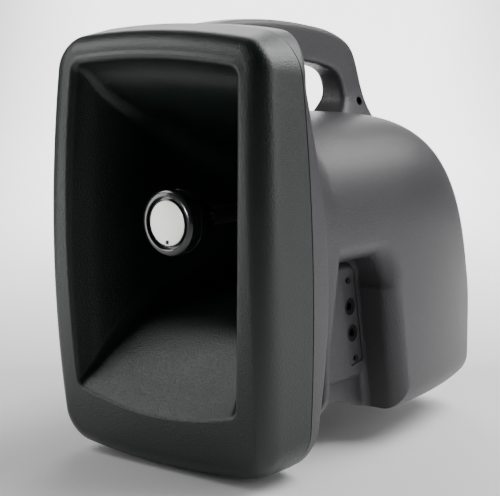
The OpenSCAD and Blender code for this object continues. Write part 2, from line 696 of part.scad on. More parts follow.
module board_screws() color([0.70, 0.70, 0.72]) seat() {
    at_corners(board_screw_at, board_z - 4.6) cylinder(r = small_screw_r, h = 6.2);
    at_corners(board_screw_at, board_z + 1.6) cylinder(r = 2.6, h = 1.6);
}

// ---- control panel -------------------------------------------------------------------------
module control_panel() color([0.16, 0.16, 0.17]) seat() difference() {
    ctrl_box([ctrl_w, ctrl_h, plate], -plate);
    ctrl_box([15.2, 22.2, 10], -plate - 1, switch_at);
    for (p = [microphone_at, line_at]) on_ctrl(p.x, p.y, -plate - 1) cylinder(r = 3.6 + hole_gap, h = 10);
    on_ctrl(microphone_jack_at.x, microphone_jack_at.y, -plate - 1) cylinder(r = jack_r + hole_gap, h = 10);
    on_ctrl(charge_jack_at.x, charge_jack_at.y, -plate - 1) cylinder(r = 5.6 + hole_gap, h = 10);
    on_ctrl(lamp_at.x, lamp_at.y, -plate - 1) cylinder(r = 2.5 + hole_gap, h = 10);
    for (x = [-1, 1], y = [-1, 1]) on_ctrl(x * panel_screw_at.x, y * panel_screw_at.y, -plate - 1)
        cylinder(r = small_screw_r + hole_gap, h = 10);
}

module panel_screws() color([0.12, 0.12, 0.12]) seat() for (x = [-1, 1], y = [-1, 1])
    on_ctrl(x * panel_screw_at.x, y * panel_screw_at.y, -5.4) {
        cylinder(r = small_screw_r, h = 5.4);
        translate([0, 0, 5.4]) cylinder(r = 2.6, h = 1.6);
    }

rocker_tilt = 9;
pivot_z = 1.5;

module switch_body() color([0.05, 0.05, 0.05]) seat() difference() {
    union() {
        ctrl_box([15, 22, 16], -14, switch_at);
        ctrl_box([18, 25, 1.8], 0, switch_at);
    }
    ctrl_box([12.4, 19.6, 30], -9, switch_at);
    on_ctrl(switch_at.x, switch_at.y, pivot_z - 2.4) rotate([0, 90, 0])
        translate([0, 0, -7.2]) cylinder(r = 1 + turn_gap, h = 14.4);
}

module power_rocker() color([0.55, 0.07, 0.06]) seat() on_ctrl(switch_at.x, switch_at.y, pivot_z - 2.4)
    rotate([rocker_tilt, 0, 0]) {
        rotate([90, 0, 90]) translate([0, 0, -6]) linear_extrude(12)
            polygon([
                [-8.6, -1.4], [-8.6, 4.6], [-5.8, 4.2], [0, 2.6], [5.8, 4.2], [8.6, 4.6], [8.6, -1.4],
                [2.6, -3.4], [-2.6, -3.4]]);
        rotate([0, 90, 0]) translate([0, 0, -7]) cylinder(r = 1, h = 14);
    }

module volume_pot(at) color([0.45, 0.45, 0.46]) seat() on_ctrl(at.x, at.y, 0) difference() {
    union() {
        translate([-8, -8, -plate - 9]) cube([16, 16, 9]);
        translate([0, 0, -plate - 1]) cylinder(r = 3.6, h = plate + 4);
        cylinder(r = 5.4, h = 1.6);
    }
    translate([0, 0, -plate - 7]) cylinder(r = shaft_r + turn_gap - 0.6, h = 20);
}

module volume_knob(at) color([0.07, 0.07, 0.07]) seat() on_ctrl(at.x, at.y, 0) {
    translate([0, 0, -plate - 6.6]) cylinder(r = shaft_r - 0.6, h = plate + 12);
    difference() {
        union() {
            translate([0, 0, 2.4]) cylinder(r = knob_r, h = 2.6);
            translate([0, 0, 4]) cylinder(r1 = knob_r - 0.8, r2 = knob_r - 1.6, h = 8);
            for (a = [0:20:340]) rotate([0, 0, a]) translate([knob_r - 1.4, 0, 4]) cylinder(r = 0.9, h = 7);
        }
        translate([0, 0, 2]) cylinder(r = 6, h = 2);
        translate([-0.6, 2, 11.4]) cube([1.2, 6, 2]);
    }
}

module microphone_pot() volume_pot(microphone_at);

module line_pot() volume_pot(line_at);

module microphone_knob() volume_knob(microphone_at);

module line_knob() volume_knob(line_at);

module microphone_jack() color([0.05, 0.05, 0.05]) seat()
    on_ctrl(microphone_jack_at.x, microphone_jack_at.y, 0) jack(jack_r, jack_bore_r, 26, -1.2);

module charge_jack() color([0.05, 0.05, 0.05]) seat() on_ctrl(charge_jack_at.x, charge_jack_at.y, 0)
    jack(5.6, 2.8, 12, -1.2);

module power_lamp() color([0.2, 0.75, 0.25]) seat() on_ctrl(lamp_at.x, lamp_at.y, 0) {
    translate([0, 0, -plate - 3]) cylinder(r = 2.5, h = plate + 4);
    translate([0, 0, 1]) intersection() {
        sphere(r = 2.5);
        cylinder(r = 3, h = 3);
    }
}

horn_moulding();
rim_seal();
rear_housing_right();
rear_housing_left();
centre_cap();
cap_disc();
plug_stem();
plug_spider();
throat_adapter();
driver_front_plate();
driver_diaphragm();
driver_top_plate();
driver_magnet();
driver_yoke();
driver_cover();
driver_screws();
jack_panel_right();
jack_panel_left();
jack_panel_screws();
side_jack_upper();
side_jack_lower();
stand_insert();
rear_feet();
housing_screws();
battery_pack();
battery_tray();
battery_cover();
battery_cover_screws();
amplifier_board();
heat_sink();
board_screws();
control_panel();
panel_screws();
switch_body();
power_rocker();
microphone_pot();
line_pot();
microphone_knob();
line_knob();
microphone_jack();
charge_jack();
power_lamp();
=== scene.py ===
"""Battery horn megaphone: the visual model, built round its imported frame."""

import json
import logging
import math
from collections.abc import Callable, Sequence
from dataclasses import dataclass, field
from enum import Enum

import bpy
import numpy as np
from mathutils import Matrix, Vector


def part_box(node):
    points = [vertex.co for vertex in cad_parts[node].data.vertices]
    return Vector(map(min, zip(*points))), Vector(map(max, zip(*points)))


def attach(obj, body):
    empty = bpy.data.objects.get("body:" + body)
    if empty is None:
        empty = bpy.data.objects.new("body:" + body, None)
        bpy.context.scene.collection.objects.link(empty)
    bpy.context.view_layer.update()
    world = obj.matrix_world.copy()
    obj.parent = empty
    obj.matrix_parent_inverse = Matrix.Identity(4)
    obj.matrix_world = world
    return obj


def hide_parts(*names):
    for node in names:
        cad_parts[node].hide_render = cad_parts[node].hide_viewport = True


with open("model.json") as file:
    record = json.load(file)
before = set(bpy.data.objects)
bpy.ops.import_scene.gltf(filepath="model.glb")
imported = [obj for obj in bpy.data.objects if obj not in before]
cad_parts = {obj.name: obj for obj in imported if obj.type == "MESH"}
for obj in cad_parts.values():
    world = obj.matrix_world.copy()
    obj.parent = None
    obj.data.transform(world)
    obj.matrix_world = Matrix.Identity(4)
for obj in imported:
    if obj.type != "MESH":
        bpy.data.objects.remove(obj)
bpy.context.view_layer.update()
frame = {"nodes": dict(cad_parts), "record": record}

LOG = logging.getLogger("megaphone")
MM = 0.001


class Blend(Enum):
    """How two solids are joined."""

    JOIN = "UNION"
    CUT = "DIFFERENCE"
    KEEP = "INTERSECT"


# ---- shader helpers --------------------------------------------------------------------------
class Signal:
    """A shader socket that takes part in Python expressions."""

    def __init__(self, graph: "Graph", socket: bpy.types.NodeSocket) -> None:
        """Keeps the socket.

        Args:
            graph: The graph that owns the socket.
            socket: An output socket.
        """
        self.graph = graph
        self.socket = socket

    def _maths(self, operation: str, first: "Signal | float", second: "Signal | float") -> "Signal":
        """Adds one Math node.

        Args:
            operation: The node's operation.
            first: Its first value.
            second: Its second value.

        Returns:
            The node's result.
        """
        node = self.graph.add("ShaderNodeMath", {"operation": operation}, {0: first, 1: second})
        return Signal(self.graph, node.outputs[0])

    def __add__(self, other: "Signal | float") -> "Signal":
        """Sum."""
        return self._maths("ADD", self, other)

    __radd__ = __add__

    def __sub__(self, other: "Signal | float") -> "Signal":
        """Difference."""
        return self._maths("SUBTRACT", self, other)

    def __rsub__(self, other: "Signal | float") -> "Signal":
        """Difference with the sides swapped."""
        return self._maths("SUBTRACT", other, self)

    def __mul__(self, other: "Signal | float") -> "Signal":
        """Product."""
        return self._maths("MULTIPLY", self, other)

    __rmul__ = __mul__


class Graph:
    """The node tree of one material, with its surface shader ready."""

    def __init__(self, name: str) -> None:
        """Starts a material.

        Args:
            name: The material's name.
        """
        self.material = bpy.data.materials.new(name)
        self.material.use_nodes = True
        self.tree = self.material.node_tree
        self.shader = self.tree.nodes["Principled BSDF"]
        self.place = self.add("ShaderNodeTexCoord").outputs["Object"]

    def add(
        self,
        kind: str,
        settings: dict[str, object] | None = None,
        values: dict[str | int, object] | None = None,
    ) -> bpy.types.Node:
        """Adds a node.

        Args:
            kind: The node's type.
            settings: Properties, which are set first. A ramp takes its stops as "stops".
            values: Socket values or links, by socket name or number.

        Returns:
            The new node.
        """
        node = self.tree.nodes.new(kind)
        for key, value in (settings or {}).items():
            if key == "stops":
                self._fill_ramp(node.color_ramp, value)
            else:
                setattr(node, key, value)
        for key, value in (values or {}).items():
            self.feed(node.inputs[key], value)
        return node

    def feed(self, socket: bpy.types.NodeSocket, value: object) -> None:
        """Links or sets a socket.

        Args:
            socket: The input socket.
            value: A signal, a socket or a plain value.
        """
        if isinstance(value, Signal):
            value = value.socket
        if isinstance(value, bpy.types.NodeSocket):
            self.tree.links.new(value, socket)
        else:
            socket.default_value = value

    @staticmethod
    def _fill_ramp(ramp: bpy.types.ColorRamp, stops: Sequence[tuple[float, float]]) -> None:
        """Sets a ramp's grey stops.

        Args:
            ramp: The ramp, which starts with two stops.
            stops: Pairs of position and grey value.
        """
        while len(ramp.elements) < len(stops):
            ramp.elements.new(0.5)
        for element, (position, grey) in zip(ramp.elements, stops):
            element.position = position
            element.color = (grey, grey, grey, 1)

    def noise(self, scale: float, detail: float = 3.0, roughness: float = 0.5) -> Signal:
        """Three-dimensional noise.

        Args:
            scale: Cells per metre.
            detail: Octaves.
            roughness: Weight of the finer octaves.

        Returns:
            The noise value from 0 to 1.
        """
        inputs = {"Vector": self.place, "Scale": scale, "Detail": detail, "Roughness": roughness}
        return Signal(self, self.add("ShaderNodeTexNoise", None, inputs).outputs[0])

    def cells(self, scale: float) -> Signal:
        """Distance to the nearest cell centre.

        Args:
            scale: Cells per metre.

        Returns:
            The distance in cell sizes.
        """
        node = self.add("ShaderNodeTexVoronoi", None, {"Vector": self.place, "Scale": scale})
        return Signal(self, node.outputs["Distance"])

    def ramp(self, signal: Signal, stops: Sequence[tuple[float, float]]) -> Signal:
        """Passes a signal through a grey ramp.

        Args:
            signal: The ramp's factor.
            stops: Pairs of position and grey value.

        Returns:
            The ramp's result.
        """
        node = self.add("ShaderNodeValToRGB", {"stops": stops}, {"Fac": signal})
        return Signal(self, node.outputs["Color"])

    def mix(self, first: object, second: object, factor: object) -> Signal:
        """Mixes two colours.

        Args:
            first: Colour at factor 0.
            second: Colour at factor 1.
            factor: The factor.

        Returns:
            The mixed colour.
        """
        settings = {"data_type": "RGBA", "clamp_factor": True}
        node = self.add("ShaderNodeMix", settings, {0: factor, 6: first, 7: second})
        return Signal(self, node.outputs[2])

    def bump(self, height: Signal, distance: float, strength: float = 1.0) -> None:
        """Feeds the shader's normal from a height.

        Args:
            height: The height from 0 to 1.
            distance: Height of 1 in metres.
            strength: Weight of the bump.
        """
        inputs = {"Height": height, "Distance": distance, "Strength": strength}
        self.feed(self.shader.inputs["Normal"], self.add("ShaderNodeBump", None, inputs).outputs[0])


Colour = tuple[float, float, float]


def rgba(colour: Colour, gain: float = 1.0) -> tuple[float, float, float, float]:
    """A colour with its alpha, brightened or darkened by gain."""
    return (colour[0] * gain, colour[1] * gain, colour[2] * gain, 1.0)


# ---- finishes --------------------------------------------------------------------------------
@dataclass(frozen=True)
class Finish:
    """A colour and a way to paint it. Each kind of finish has its own paint method."""

    colour: Colour

    def make(self, name: str) -> bpy.types.Material:
        """Builds the material.

        Args:
            name: The material's name.

        Returns:
            The material.
        """
        graph = Graph(name)
        self.paint(graph)
        return graph.material

    def paint(self, graph: Graph) -> None:
        """Sets the plain colour."""
        graph.feed(graph.shader.inputs["Base Color"], rgba(self.colour))


@dataclass(frozen=True)
class Plastic(Finish):
    """Moulded plastic with a spark-eroded grain and faint flow marks."""

    roughness: float = 0.45
    grain: float = 1100.0
    depth: float = 0.00006
    mottle: float = 0.10

    def paint(self, graph: Graph) -> None:
        """Paints the grain, the pits between it and the flow marks.

        Args:
            graph: The material's graph.
        """
        flow = graph.noise(14.0, 4.0)
        fine = graph.ramp(graph.noise(self.grain, 2.0, 0.6), [(0.32, 0.0), (0.68, 1.0)])
        pits = graph.ramp(graph.cells(self.grain * 0.8), [(0.0, 0.0), (0.6, 1.0)])
        low, high = rgba(self.colour, 1 - self.mottle), rgba(self.colour, 1 + self.mottle)
        tone = graph.mix(low, high, 0.3 * flow + 0.7 * fine)
        graph.feed(graph.shader.inputs["Base Color"], tone)
        rough = self.roughness - 0.06 + 0.08 * flow + 0.04 * fine
        graph.feed(graph.shader.inputs["Roughness"], rough)
        graph.bump(0.6 * fine + 0.4 * pits, self.depth)


@dataclass(frozen=True)
class Metal(Finish):
    """Bare or plated metal with tool marks and slight tarnish."""

    roughness: float = 0.32
    marks: float = 900.0

    def paint(self, graph: Graph) -> None:
        """Paints long tool marks and soft stains.

        Args:
            graph: The material's graph.
        """
        long_marks = {"Vector": graph.place, "Scale": (0.08, 1, 0.08)}
        stretch = graph.add("ShaderNodeMapping", None, long_marks)
        inputs = {"Vector": stretch.outputs[0], "Scale": self.marks, "Detail": 2.0}
        lines = Signal(graph, graph.add("ShaderNodeTexNoise", None, inputs).outputs[0])
        stain = graph.noise(60.0, 4.0)
        tone = graph.mix(rgba(self.colour, 0.8), rgba(self.colour, 1.1), 0.5 * stain + 0.5 * lines)
        graph.feed(graph.shader.inputs["Base Color"], tone)
        graph.shader.inputs["Metallic"].default_value = 1.0
        graph.feed(graph.shader.inputs["Roughness"], self.roughness + 0.12 * stain)
        graph.bump(lines, 0.00002)


@dataclass(frozen=True)
class Rubber(Finish):
    """Matt rubber with a powdery bloom."""

    def paint(self, graph: Graph) -> None:
        """Paints the bloom and a fine matt skin.

        Args:
            graph: The material's graph.
        """
        bloom = graph.ramp(graph.noise(90.0, 5.0, 0.7), [(0.45, 0.0), (0.8, 1.0)])
        tone = graph.mix(rgba(self.colour), (0.09, 0.09, 0.09, 1), 0.4 * bloom)
        graph.feed(graph.shader.inputs["Base Color"], tone)
        graph.feed(graph.shader.inputs["Roughness"], 0.75 + 0.15 * bloom)
        graph.bump(graph.noise(1600.0), 0.00004)


@dataclass(frozen=True)
class Gloss(Finish):
    """Polished plastic with a lacquer coat and fine handling marks."""

    roughness: float = 0.16
    coat: float = 0.6
    glow: float = 0.0

    def paint(self, graph: Graph) -> None:
        """Paints smears and scratches under a coat, and a glow where there is one.

        Args:
            graph: The material's graph.
        """
        smear = graph.noise(45.0, 4.0)
        scratch = graph.ramp(graph.noise(700.0, 4.0, 0.8), [(0.5, 0.0), (0.75, 1.0)])
        tone = graph.mix(rgba(self.colour, 0.92), rgba(self.colour, 1.06), smear)
        graph.feed(graph.shader.inputs["Base Color"], tone)
        graph.feed(graph.shader.inputs["Roughness"], self.roughness + 0.06 * smear + 0.08 * scratch)
        graph.shader.inputs["Coat Weight"].default_value = self.coat
        graph.shader.inputs["Coat Roughness"].default_value = 0.08
        if self.glow > 0:
            graph.feed(graph.shader.inputs["Emission Color"], tone)
            graph.shader.inputs["Emission Strength"].default_value = self.glow
        graph.bump(smear, 0.00003, 0.5)


@dataclass(frozen=True)
class BoardLaminate(Finish):
    """Green solder mask with lighter copper tracks under it."""

    def paint(self, graph: Graph) -> None:
        """Paints the mask and the tracks.

        Args:
            graph: The material's graph.
        """
        inputs = {"Vector": graph.place, "Scale": 180.0, "Mortar Size": 0.09, "Brick Width": 1.4}
        tracks = Signal(graph, graph.add("ShaderNodeTexBrick", None, inputs).outputs["Fac"])
        tone = graph.mix(rgba(self.colour), rgba(self.colour, 1.9), tracks)
        graph.feed(graph.shader.inputs["Base Color"], tone)
        graph.feed(graph.shader.inputs["Roughness"], 0.32 + 0.1 * graph.noise(300.0))
        graph.bump(tracks, 0.00003)


FINISHES: dict[str, Finish] = {
    "front_plastic": Plastic((0.0060, 0.0110, 0.0095), 0.34, 900.0, 0.00022, 0.30),
    "housing_plastic": Plastic((0.041, 0.0395, 0.0435), 0.40, 900.0, 0.00020, 0.20),
    "seal_rubber": Rubber((0.012, 0.012, 0.012)),
    "foot_rubber": Rubber((0.02, 0.02, 0.02)),
    "gloss_black": Gloss((0.014, 0.015, 0.015), 0.14, 0.5),
    "white_disc": Gloss((0.82, 0.82, 0.79), 0.22, 0.3),
    "inner_plastic": Plastic((0.030, 0.030, 0.030), 0.5),
    "panel_plastic": Plastic((0.036, 0.035, 0.040), 0.36, 1300.0, 0.00008),
    "knob_plastic": Plastic((0.028, 0.028, 0.028), 0.42, 1400.0, 0.00004),
    "jack_plastic": Plastic((0.006, 0.006, 0.006), 0.30, 1400.0, 0.00003),
    "battery_case": Plastic((0.12, 0.17, 0.28), 0.38, 500.0, 0.00003),
    "diaphragm_film": Plastic((0.75, 0.68, 0.50), 0.4, 500.0, 0.00002),
    "cast_alloy": Metal((0.55, 0.55, 0.56), 0.45),
    "plated_steel": Metal((0.55, 0.55, 0.56), 0.30),
    "screw_steel": Metal((0.60, 0.60, 0.62), 0.28),
    "black_screw": Metal((0.03, 0.03, 0.03), 0.45),
    "insert_brass": Metal((0.72, 0.55, 0.25), 0.28),
    "heat_sink_alloy": Metal((0.60, 0.61, 0.62), 0.38),
    "ferrite": Plastic((0.10, 0.10, 0.11), 0.6, 1500.0, 0.00005),
    "circuit_board": BoardLaminate((0.05, 0.20, 0.08)),
    "rocker_plastic": Gloss((0.42, 0.025, 0.02), 0.25, 0.4),
    "lamp_lens": Gloss((0.10, 0.60, 0.16), 0.10, 0.8, 0.35),
}


class Paintbox:
    """Makes each finish once and hands it out."""

    def __init__(self) -> None:
        """Starts with no materials made."""
        self.made: dict[str, bpy.types.Material] = {}

    def get(self, slot: str) -> bpy.types.Material:
        """Finds or makes a finish.

        Args:
            slot: The record's name for it.

        Returns:
            The material.
        """
        if slot not in self.made:
            self.made[slot] = FINISHES[slot].make(slot)
        return self.made[slot]


# ---- mesh helpers ----------------------------------------------------------------------------
RIM_RISE = 2.3  # the rim's middle is this much above z = 0, in millimetres


@dataclass(frozen=True)
class Datum:
    """Working frame: y is counted from the mouth and z from the middle of the front moulding."""

    front: float
    drop: float

    @classmethod
    def from_frame(cls) -> "Datum":
        """Reads the datum from the front moulding's box."""
        low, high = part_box("horn_moulding")
        return cls(front=low.y / MM, drop=(high.z - low.z) / MM / 2 - RIM_RISE)

    def seat(self, points: np.ndarray) -> np.ndarray:
        """Turns working millimetres into the frame's metres.

        Args:
            points: Array of points, last axis x, y, z.

        Returns:
            The same points in the frame.
        """
        return (np.asarray(points, float) + np.array([0.0, self.front, self.drop])) * MM


def mix(a: float, b: float, t: float) -> float:
    """Linear blend from a to b."""
    return a + (b - a) * t


def smooth_through(points: Sequence[Sequence[float]], steps: int) -> np.ndarray:
    """Runs a smooth curve through points.

    Args:
        points: The points, of any dimension.
        steps: Parts that each span is cut into.

    Returns:
        Points along the curve.
    """
    knots = np.asarray(points, float)
    ends = np.concatenate([[2 * knots[0] - knots[1]], knots, [2 * knots[-1] - knots[-2]]])
    rows = []
    for k in range(len(knots) - 1):
        p0, p1, p2, p3 = ends[k : k + 4]
        for t in np.arange(steps) / steps:
            bend = 2 * p0 - 5 * p1 + 4 * p2 - p3
            cube = 3 * p1 - p0 - 3 * p2 + p3
            rows.append(0.5 * (2 * p1 + (p2 - p0) * t + bend * t**2 + cube * t**3))
    return np.array(rows + [knots[-1]])


class Shape:
    """A mesh in working millimetres, with the operations that the pieces need."""

    def __init__(self, name: str, points: np.ndarray, faces: Sequence[Sequence[int]]) -> None:
        """Makes the mesh.

        Args:
            name: Name of the piece.
            points: Corner points.
            faces: Corner numbers of each face, counter-clockwise from outside.
        """
        mesh = bpy.data.meshes.new(name)
        corners = np.asarray(points, float).reshape(-1, 3).tolist()
        mesh.from_pydata(corners, [], [list(f) for f in faces])
        self.object = bpy.data.objects.new(name, mesh)
        bpy.context.scene.collection.objects.link(self.object)

    @classmethod
    def loft(cls, name: str, rings: np.ndarray, loop: bool = False) -> "Shape":
        """Skins closed rings.

        Args:
            name: Name of the piece.
            rings: Array of rings, points and x, y, z.
            loop: Whether the last ring meets the first, or both ends are closed by faces.

        Returns:
            The solid, with its normals outwards.
        """
        rings = np.asarray(rings, float)
        rows, columns = rings.shape[:2]
        faces = []
        for j in range(rows if loop else rows - 1):
            after = (j + 1) % rows
            for i in range(columns):
                side = (i + 1) % columns
                near, far = j * columns, after * columns
                faces.append((near + i, near + side, far + side, far + i))
        if not loop:
            faces.append(tuple(range(columns))[::-1])
            faces.append(tuple((rows - 1) * columns + i for i in range(columns)))
        shape = cls(name, rings, faces)
        shape.face_outwards()
        return shape

    @classmethod
    def box(cls, name: str, low: Sequence[float], high: Sequence[float]) -> "Shape":
        """A cutting block.

        Args:
            name: Name of the block.
            low: Its lowest corner.
            high: Its highest corner.

        Returns:
            The block.
        """
        (x0, y0, z0), (x1, y1, z1) = low, high
        outline = np.array([[x0, y0], [x1, y0], [x1, y1], [x0, y1]])
        rings = [np.column_stack([outline, np.full(4, z)]) for z in (z0, z1)]
        return cls.loft(name, np.array(rings))

    @classmethod
    def rod(cls, name: str, radius: float, bottom: float, top: float, sides: int = 48) -> "Shape":
        """A cutting cylinder along z.

        Args:
            name: Name of the cylinder.
            radius: Its radius.
            bottom: Height of its bottom.
            top: Height of its top.
            sides: Points round it.

        Returns:
            The cylinder.
        """
        turn = np.arange(sides) * 2 * math.pi / sides
        ring = np.column_stack([radius * np.cos(turn), radius * np.sin(turn)])
        rings = [np.column_stack([ring, np.full(sides, z)]) for z in (bottom, top)]
        return cls.loft(name, np.array(rings))

    @classmethod
    def turned(cls, name: str, profile: np.ndarray, sides: int = 96) -> "Shape":
        """Turns a closed profile about z.

        Args:
            name: Name of the piece.
            profile: Closed profile, as radius and z. No radius is 0.
            sides: Points round the axis.

        Returns:
            The turned solid.
        """
        turn = np.arange(sides) * 2 * math.pi / sides
        across, up, flat = np.cos(turn), np.sin(turn), np.ones(sides)
        rings = [np.column_stack([r * across, r * up, z * flat]) for r, z in profile]
        return cls.loft(name, np.array(rings), loop=True)

    def face_outwards(self) -> None:
        """Flips the faces if the solid is inside out."""
        mesh = self.object.data
        mesh.calc_loop_triangles()
        volume = 0.0
        for triangle in mesh.loop_triangles:
            a, b, c = (mesh.vertices[i].co for i in triangle.vertices)
            volume += a.dot(b.cross(c))
        if volume < 0:
            mesh.flip_normals()

    def place(self, matrix: Matrix) -> "Shape":
        """Moves the mesh.

        Args:
            matrix: The move, which may mirror.

        Returns:
            This shape.
        """
        self.object.data.transform(matrix)
        if matrix.determinant() < 0:
            self.object.data.flip_normals()
        return self

    def combine(self, how: Blend, *others: "Shape") -> "Shape":
        """Joins, cuts or keeps with other solids, which are used up.

        Args:
            how: The operation.
            others: The other solids.

        Returns:
            This shape.
        """
        for other in others:
            step = self.object.modifiers.new("step", "BOOLEAN")
            step.operation = how.value
            step.solver = "MANIFOLD"
            step.object = other.object
            self.apply()
            bpy.data.objects.remove(other.object)
        return self

    def apply(self) -> "Shape":
        """Applies the modifiers.

        Returns:
            This shape.
        """
        bpy.context.view_layer.update()
        depsgraph = bpy.context.evaluated_depsgraph_get()
        mesh = bpy.data.meshes.new_from_object(self.object.evaluated_get(depsgraph))
        self.object.modifiers.clear()
        self.object.data = mesh
        return self

    def copy(self, name: str) -> "Shape":
        """Makes a second solid with the same mesh.

        Args:
            name: Name of the second solid.

        Returns:
            The second solid.
        """
        twin = object.__new__(Shape)
        twin.object = bpy.data.objects.new(name, self.object.data.copy())
        bpy.context.scene.collection.objects.link(twin.object)
        return twin


@dataclass
class Workshop:
    """Finishes pieces: seats them, smooths them, paints them and hangs them on a body."""

    datum: Datum
    paints: Paintbox
    count: int = 0

    def deliver(
        self, shape: Shape, body: str, slot: str, stands_for: str, crease: float
    ) -> None:
        """Turns a shape into a finished piece.

        Args:
            shape: The shape, in working millimetres.
            body: The body it rides on.
            slot: The finish.
            stands_for: The frame's node that it stands for.
            crease: Edges bent by more than this many degrees stay sharp.
        """
        piece = shape.object
        mesh = piece.data
        corners = np.empty(len(mesh.vertices) * 3, np.float32)
        mesh.vertices.foreach_get("co", corners)
        seated = self.datum.seat(corners.reshape(-1, 3))
        mesh.vertices.foreach_set("co", seated.astype(np.float32).ravel())
        mesh.shade_smooth()
        mesh.set_sharp_from_angle(angle=math.radians(crease))
        mesh.materials.clear()
        mesh.materials.append(self.paints.get(slot))
        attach(piece, body)
        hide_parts(stands_for)
        self.count += 1
        faces = len(mesh.polygons)
        LOG.info("piece %s: %d faces, finish %s, body %s", piece.name, faces, slot, body)


# ---- outlines --------------------------------------------------------------------------------
def on_index(stops: Sequence[float], index: float) -> tuple[int, float]:
    """Finds the stretch of an outline that an index lies in.

    Args:
        stops: Index at each stretch's start, and the last end.
        index: The index.

    Returns:
        The stretch's number and how far along it the index is, from 0 to 1.
    """
    for k in range(len(stops) - 1):
        if index <= stops[k + 1]:
            return k, (index - stops[k]) / (stops[k + 1] - stops[k])
    return len(stops) - 2, 1.0


HALF_INDEX = np.linspace(0.0, 27.0, 136)  # places round half a ring
BOWED_STOPS = (0, 5, 9, 19, 22, 27)  # where a bowed outline's stretches begin
SECTION_STOPS = (0, 13, 18, 22, 27)  # where a housing section's stretches begin


def arc(cx: float, cz: float, r: float, degrees: float) -> tuple[float, float]:
    """A point on a circle about cx, cz."""
    return cx + r * math.cos(math.radians(degrees)), cz + r * math.sin(math.radians(degrees))


def quarter(first: float, last: float, count: int) -> np.ndarray:
    """Angles in radians, evenly spaced between two angles in degrees."""
    return np.radians(np.linspace(first, last, count))


def ring_at(line: np.ndarray, y: np.ndarray | float) -> np.ndarray:
    """Lifts an outline of x and z to points at distance y from the mouth."""
    return np.column_stack([line[:, 0], np.broadcast_to(y, len(line)), line[:, 1]])


def mirrored(half: np.ndarray) -> np.ndarray:
    """Completes half a ring with its mirror image.

    Args:
        half: Points from the top middle to the bottom middle.

    Returns:
        The closed ring.
    """
    other = half[-2:0:-1].copy()
    other[:, 0] *= -1
    return np.concatenate([half, other])


@dataclass(frozen=True)
class Bowed:
    """Half of a rounded rectangle with bowed sides, from its top middle to its bottom middle."""

    half_width: float
    half_height: float
    corner: float
    side: float
    top: float
    bottom: float
    middle: float

    def points(self) -> np.ndarray:
        """Walks along the top, the upper corner, the side, the lower corner and the bottom.

        Returns:
            The outline's points, as x and z.
        """
        a, h, r = self.half_width, self.half_height, self.corner
        rows = []
        for index in HALF_INDEX:
            part, t = on_index(BOWED_STOPS, index)
            if part == 0:
                rows.append((mix(0, a - r, t), h))
            elif part == 1:
                rows.append(arc(a - r, h - r, r, 90 - 90 * t))
            elif part == 2:
                rows.append((a, mix(h - r, r - h, t)))
            elif part == 3:
                rows.append(arc(a - r, r - h, r, -90 * t))
            else:
                rows.append((mix(a - r, 0, t), -h))
        x, z = np.array(rows).T
        bow = np.where(z > 0, self.top, self.bottom)
        wide = x * (1 + self.side / a * (1 - (z / h) ** 2))
        tall = z * (1 + bow / h * (1 - (x / a) ** 2))
        return np.column_stack([wide, tall + self.middle])


@dataclass(frozen=True)
class Rim:
    """The front moulding's outer outline and how it leans and tapers."""

    half_width: float = 107.0
    half_height: float = 161.7
    corner: float = 31.0
    side_bow: float = 8.2
    end_bow: float = 8.4
    depth: float = 51.0
    lip: float = 17.0
    wall: float = 3.2
    side_taper: float = 5.0
    top_taper: float = 7.0
    bottom_taper: float = 2.0
    face_corner: float = 13.0
    least_corner: float = 9.0
    lip_share: float = 0.4
    end_height: float = 156.0
    face_curve: float = 7.6
    joint_lean: float = 6.2

    def line(self, inset: float, tighter: float = 0.0) -> np.ndarray:
        """Draws half of the outline.

        Args:
            inset: How far it is moved inwards.
            tighter: How much is taken off its corners' radius.

        Returns:
            The outline, as x and z.
        """
        corner = max(self.corner - inset - tighter, self.least_corner)
        a, h = self.half_width - inset, self.half_height - inset
        return Bowed(a, h, corner, self.side_bow, self.end_bow, self.end_bow, RIM_RISE).points()

    def face(self, z: np.ndarray) -> np.ndarray:
        """How far the face stands back at a height."""
        return self.face_curve * (z / self.end_height) ** 2

    def joint(self, z: np.ndarray) -> np.ndarray:
        """Distance of the joint from the mouth at a height."""
        return self.depth - self.joint_lean * z / self.end_height

    def ring(self, inset: float, y: float, share: float) -> np.ndarray:
        """Draws half a ring of the rim.

        Args:
            inset: How far it is moved inwards.
            y: Its distance from the mouth at mid-height.
            share: Its place between the face (0) and the joint (1).

        Returns:
            The half ring.
        """
        amount = 1 - share
        x, z = self.line(inset, self.face_corner * amount).T
        taper = np.where(z > 0, self.top_taper, self.bottom_taper)
        x = x * (1 - amount * self.side_taper / self.half_width)
        z = z * (1 - amount * taper / self.half_height)
        lean = mix(self.face(z), self.joint(z) - self.depth, share)
        return np.column_stack([x, y + lean, z])


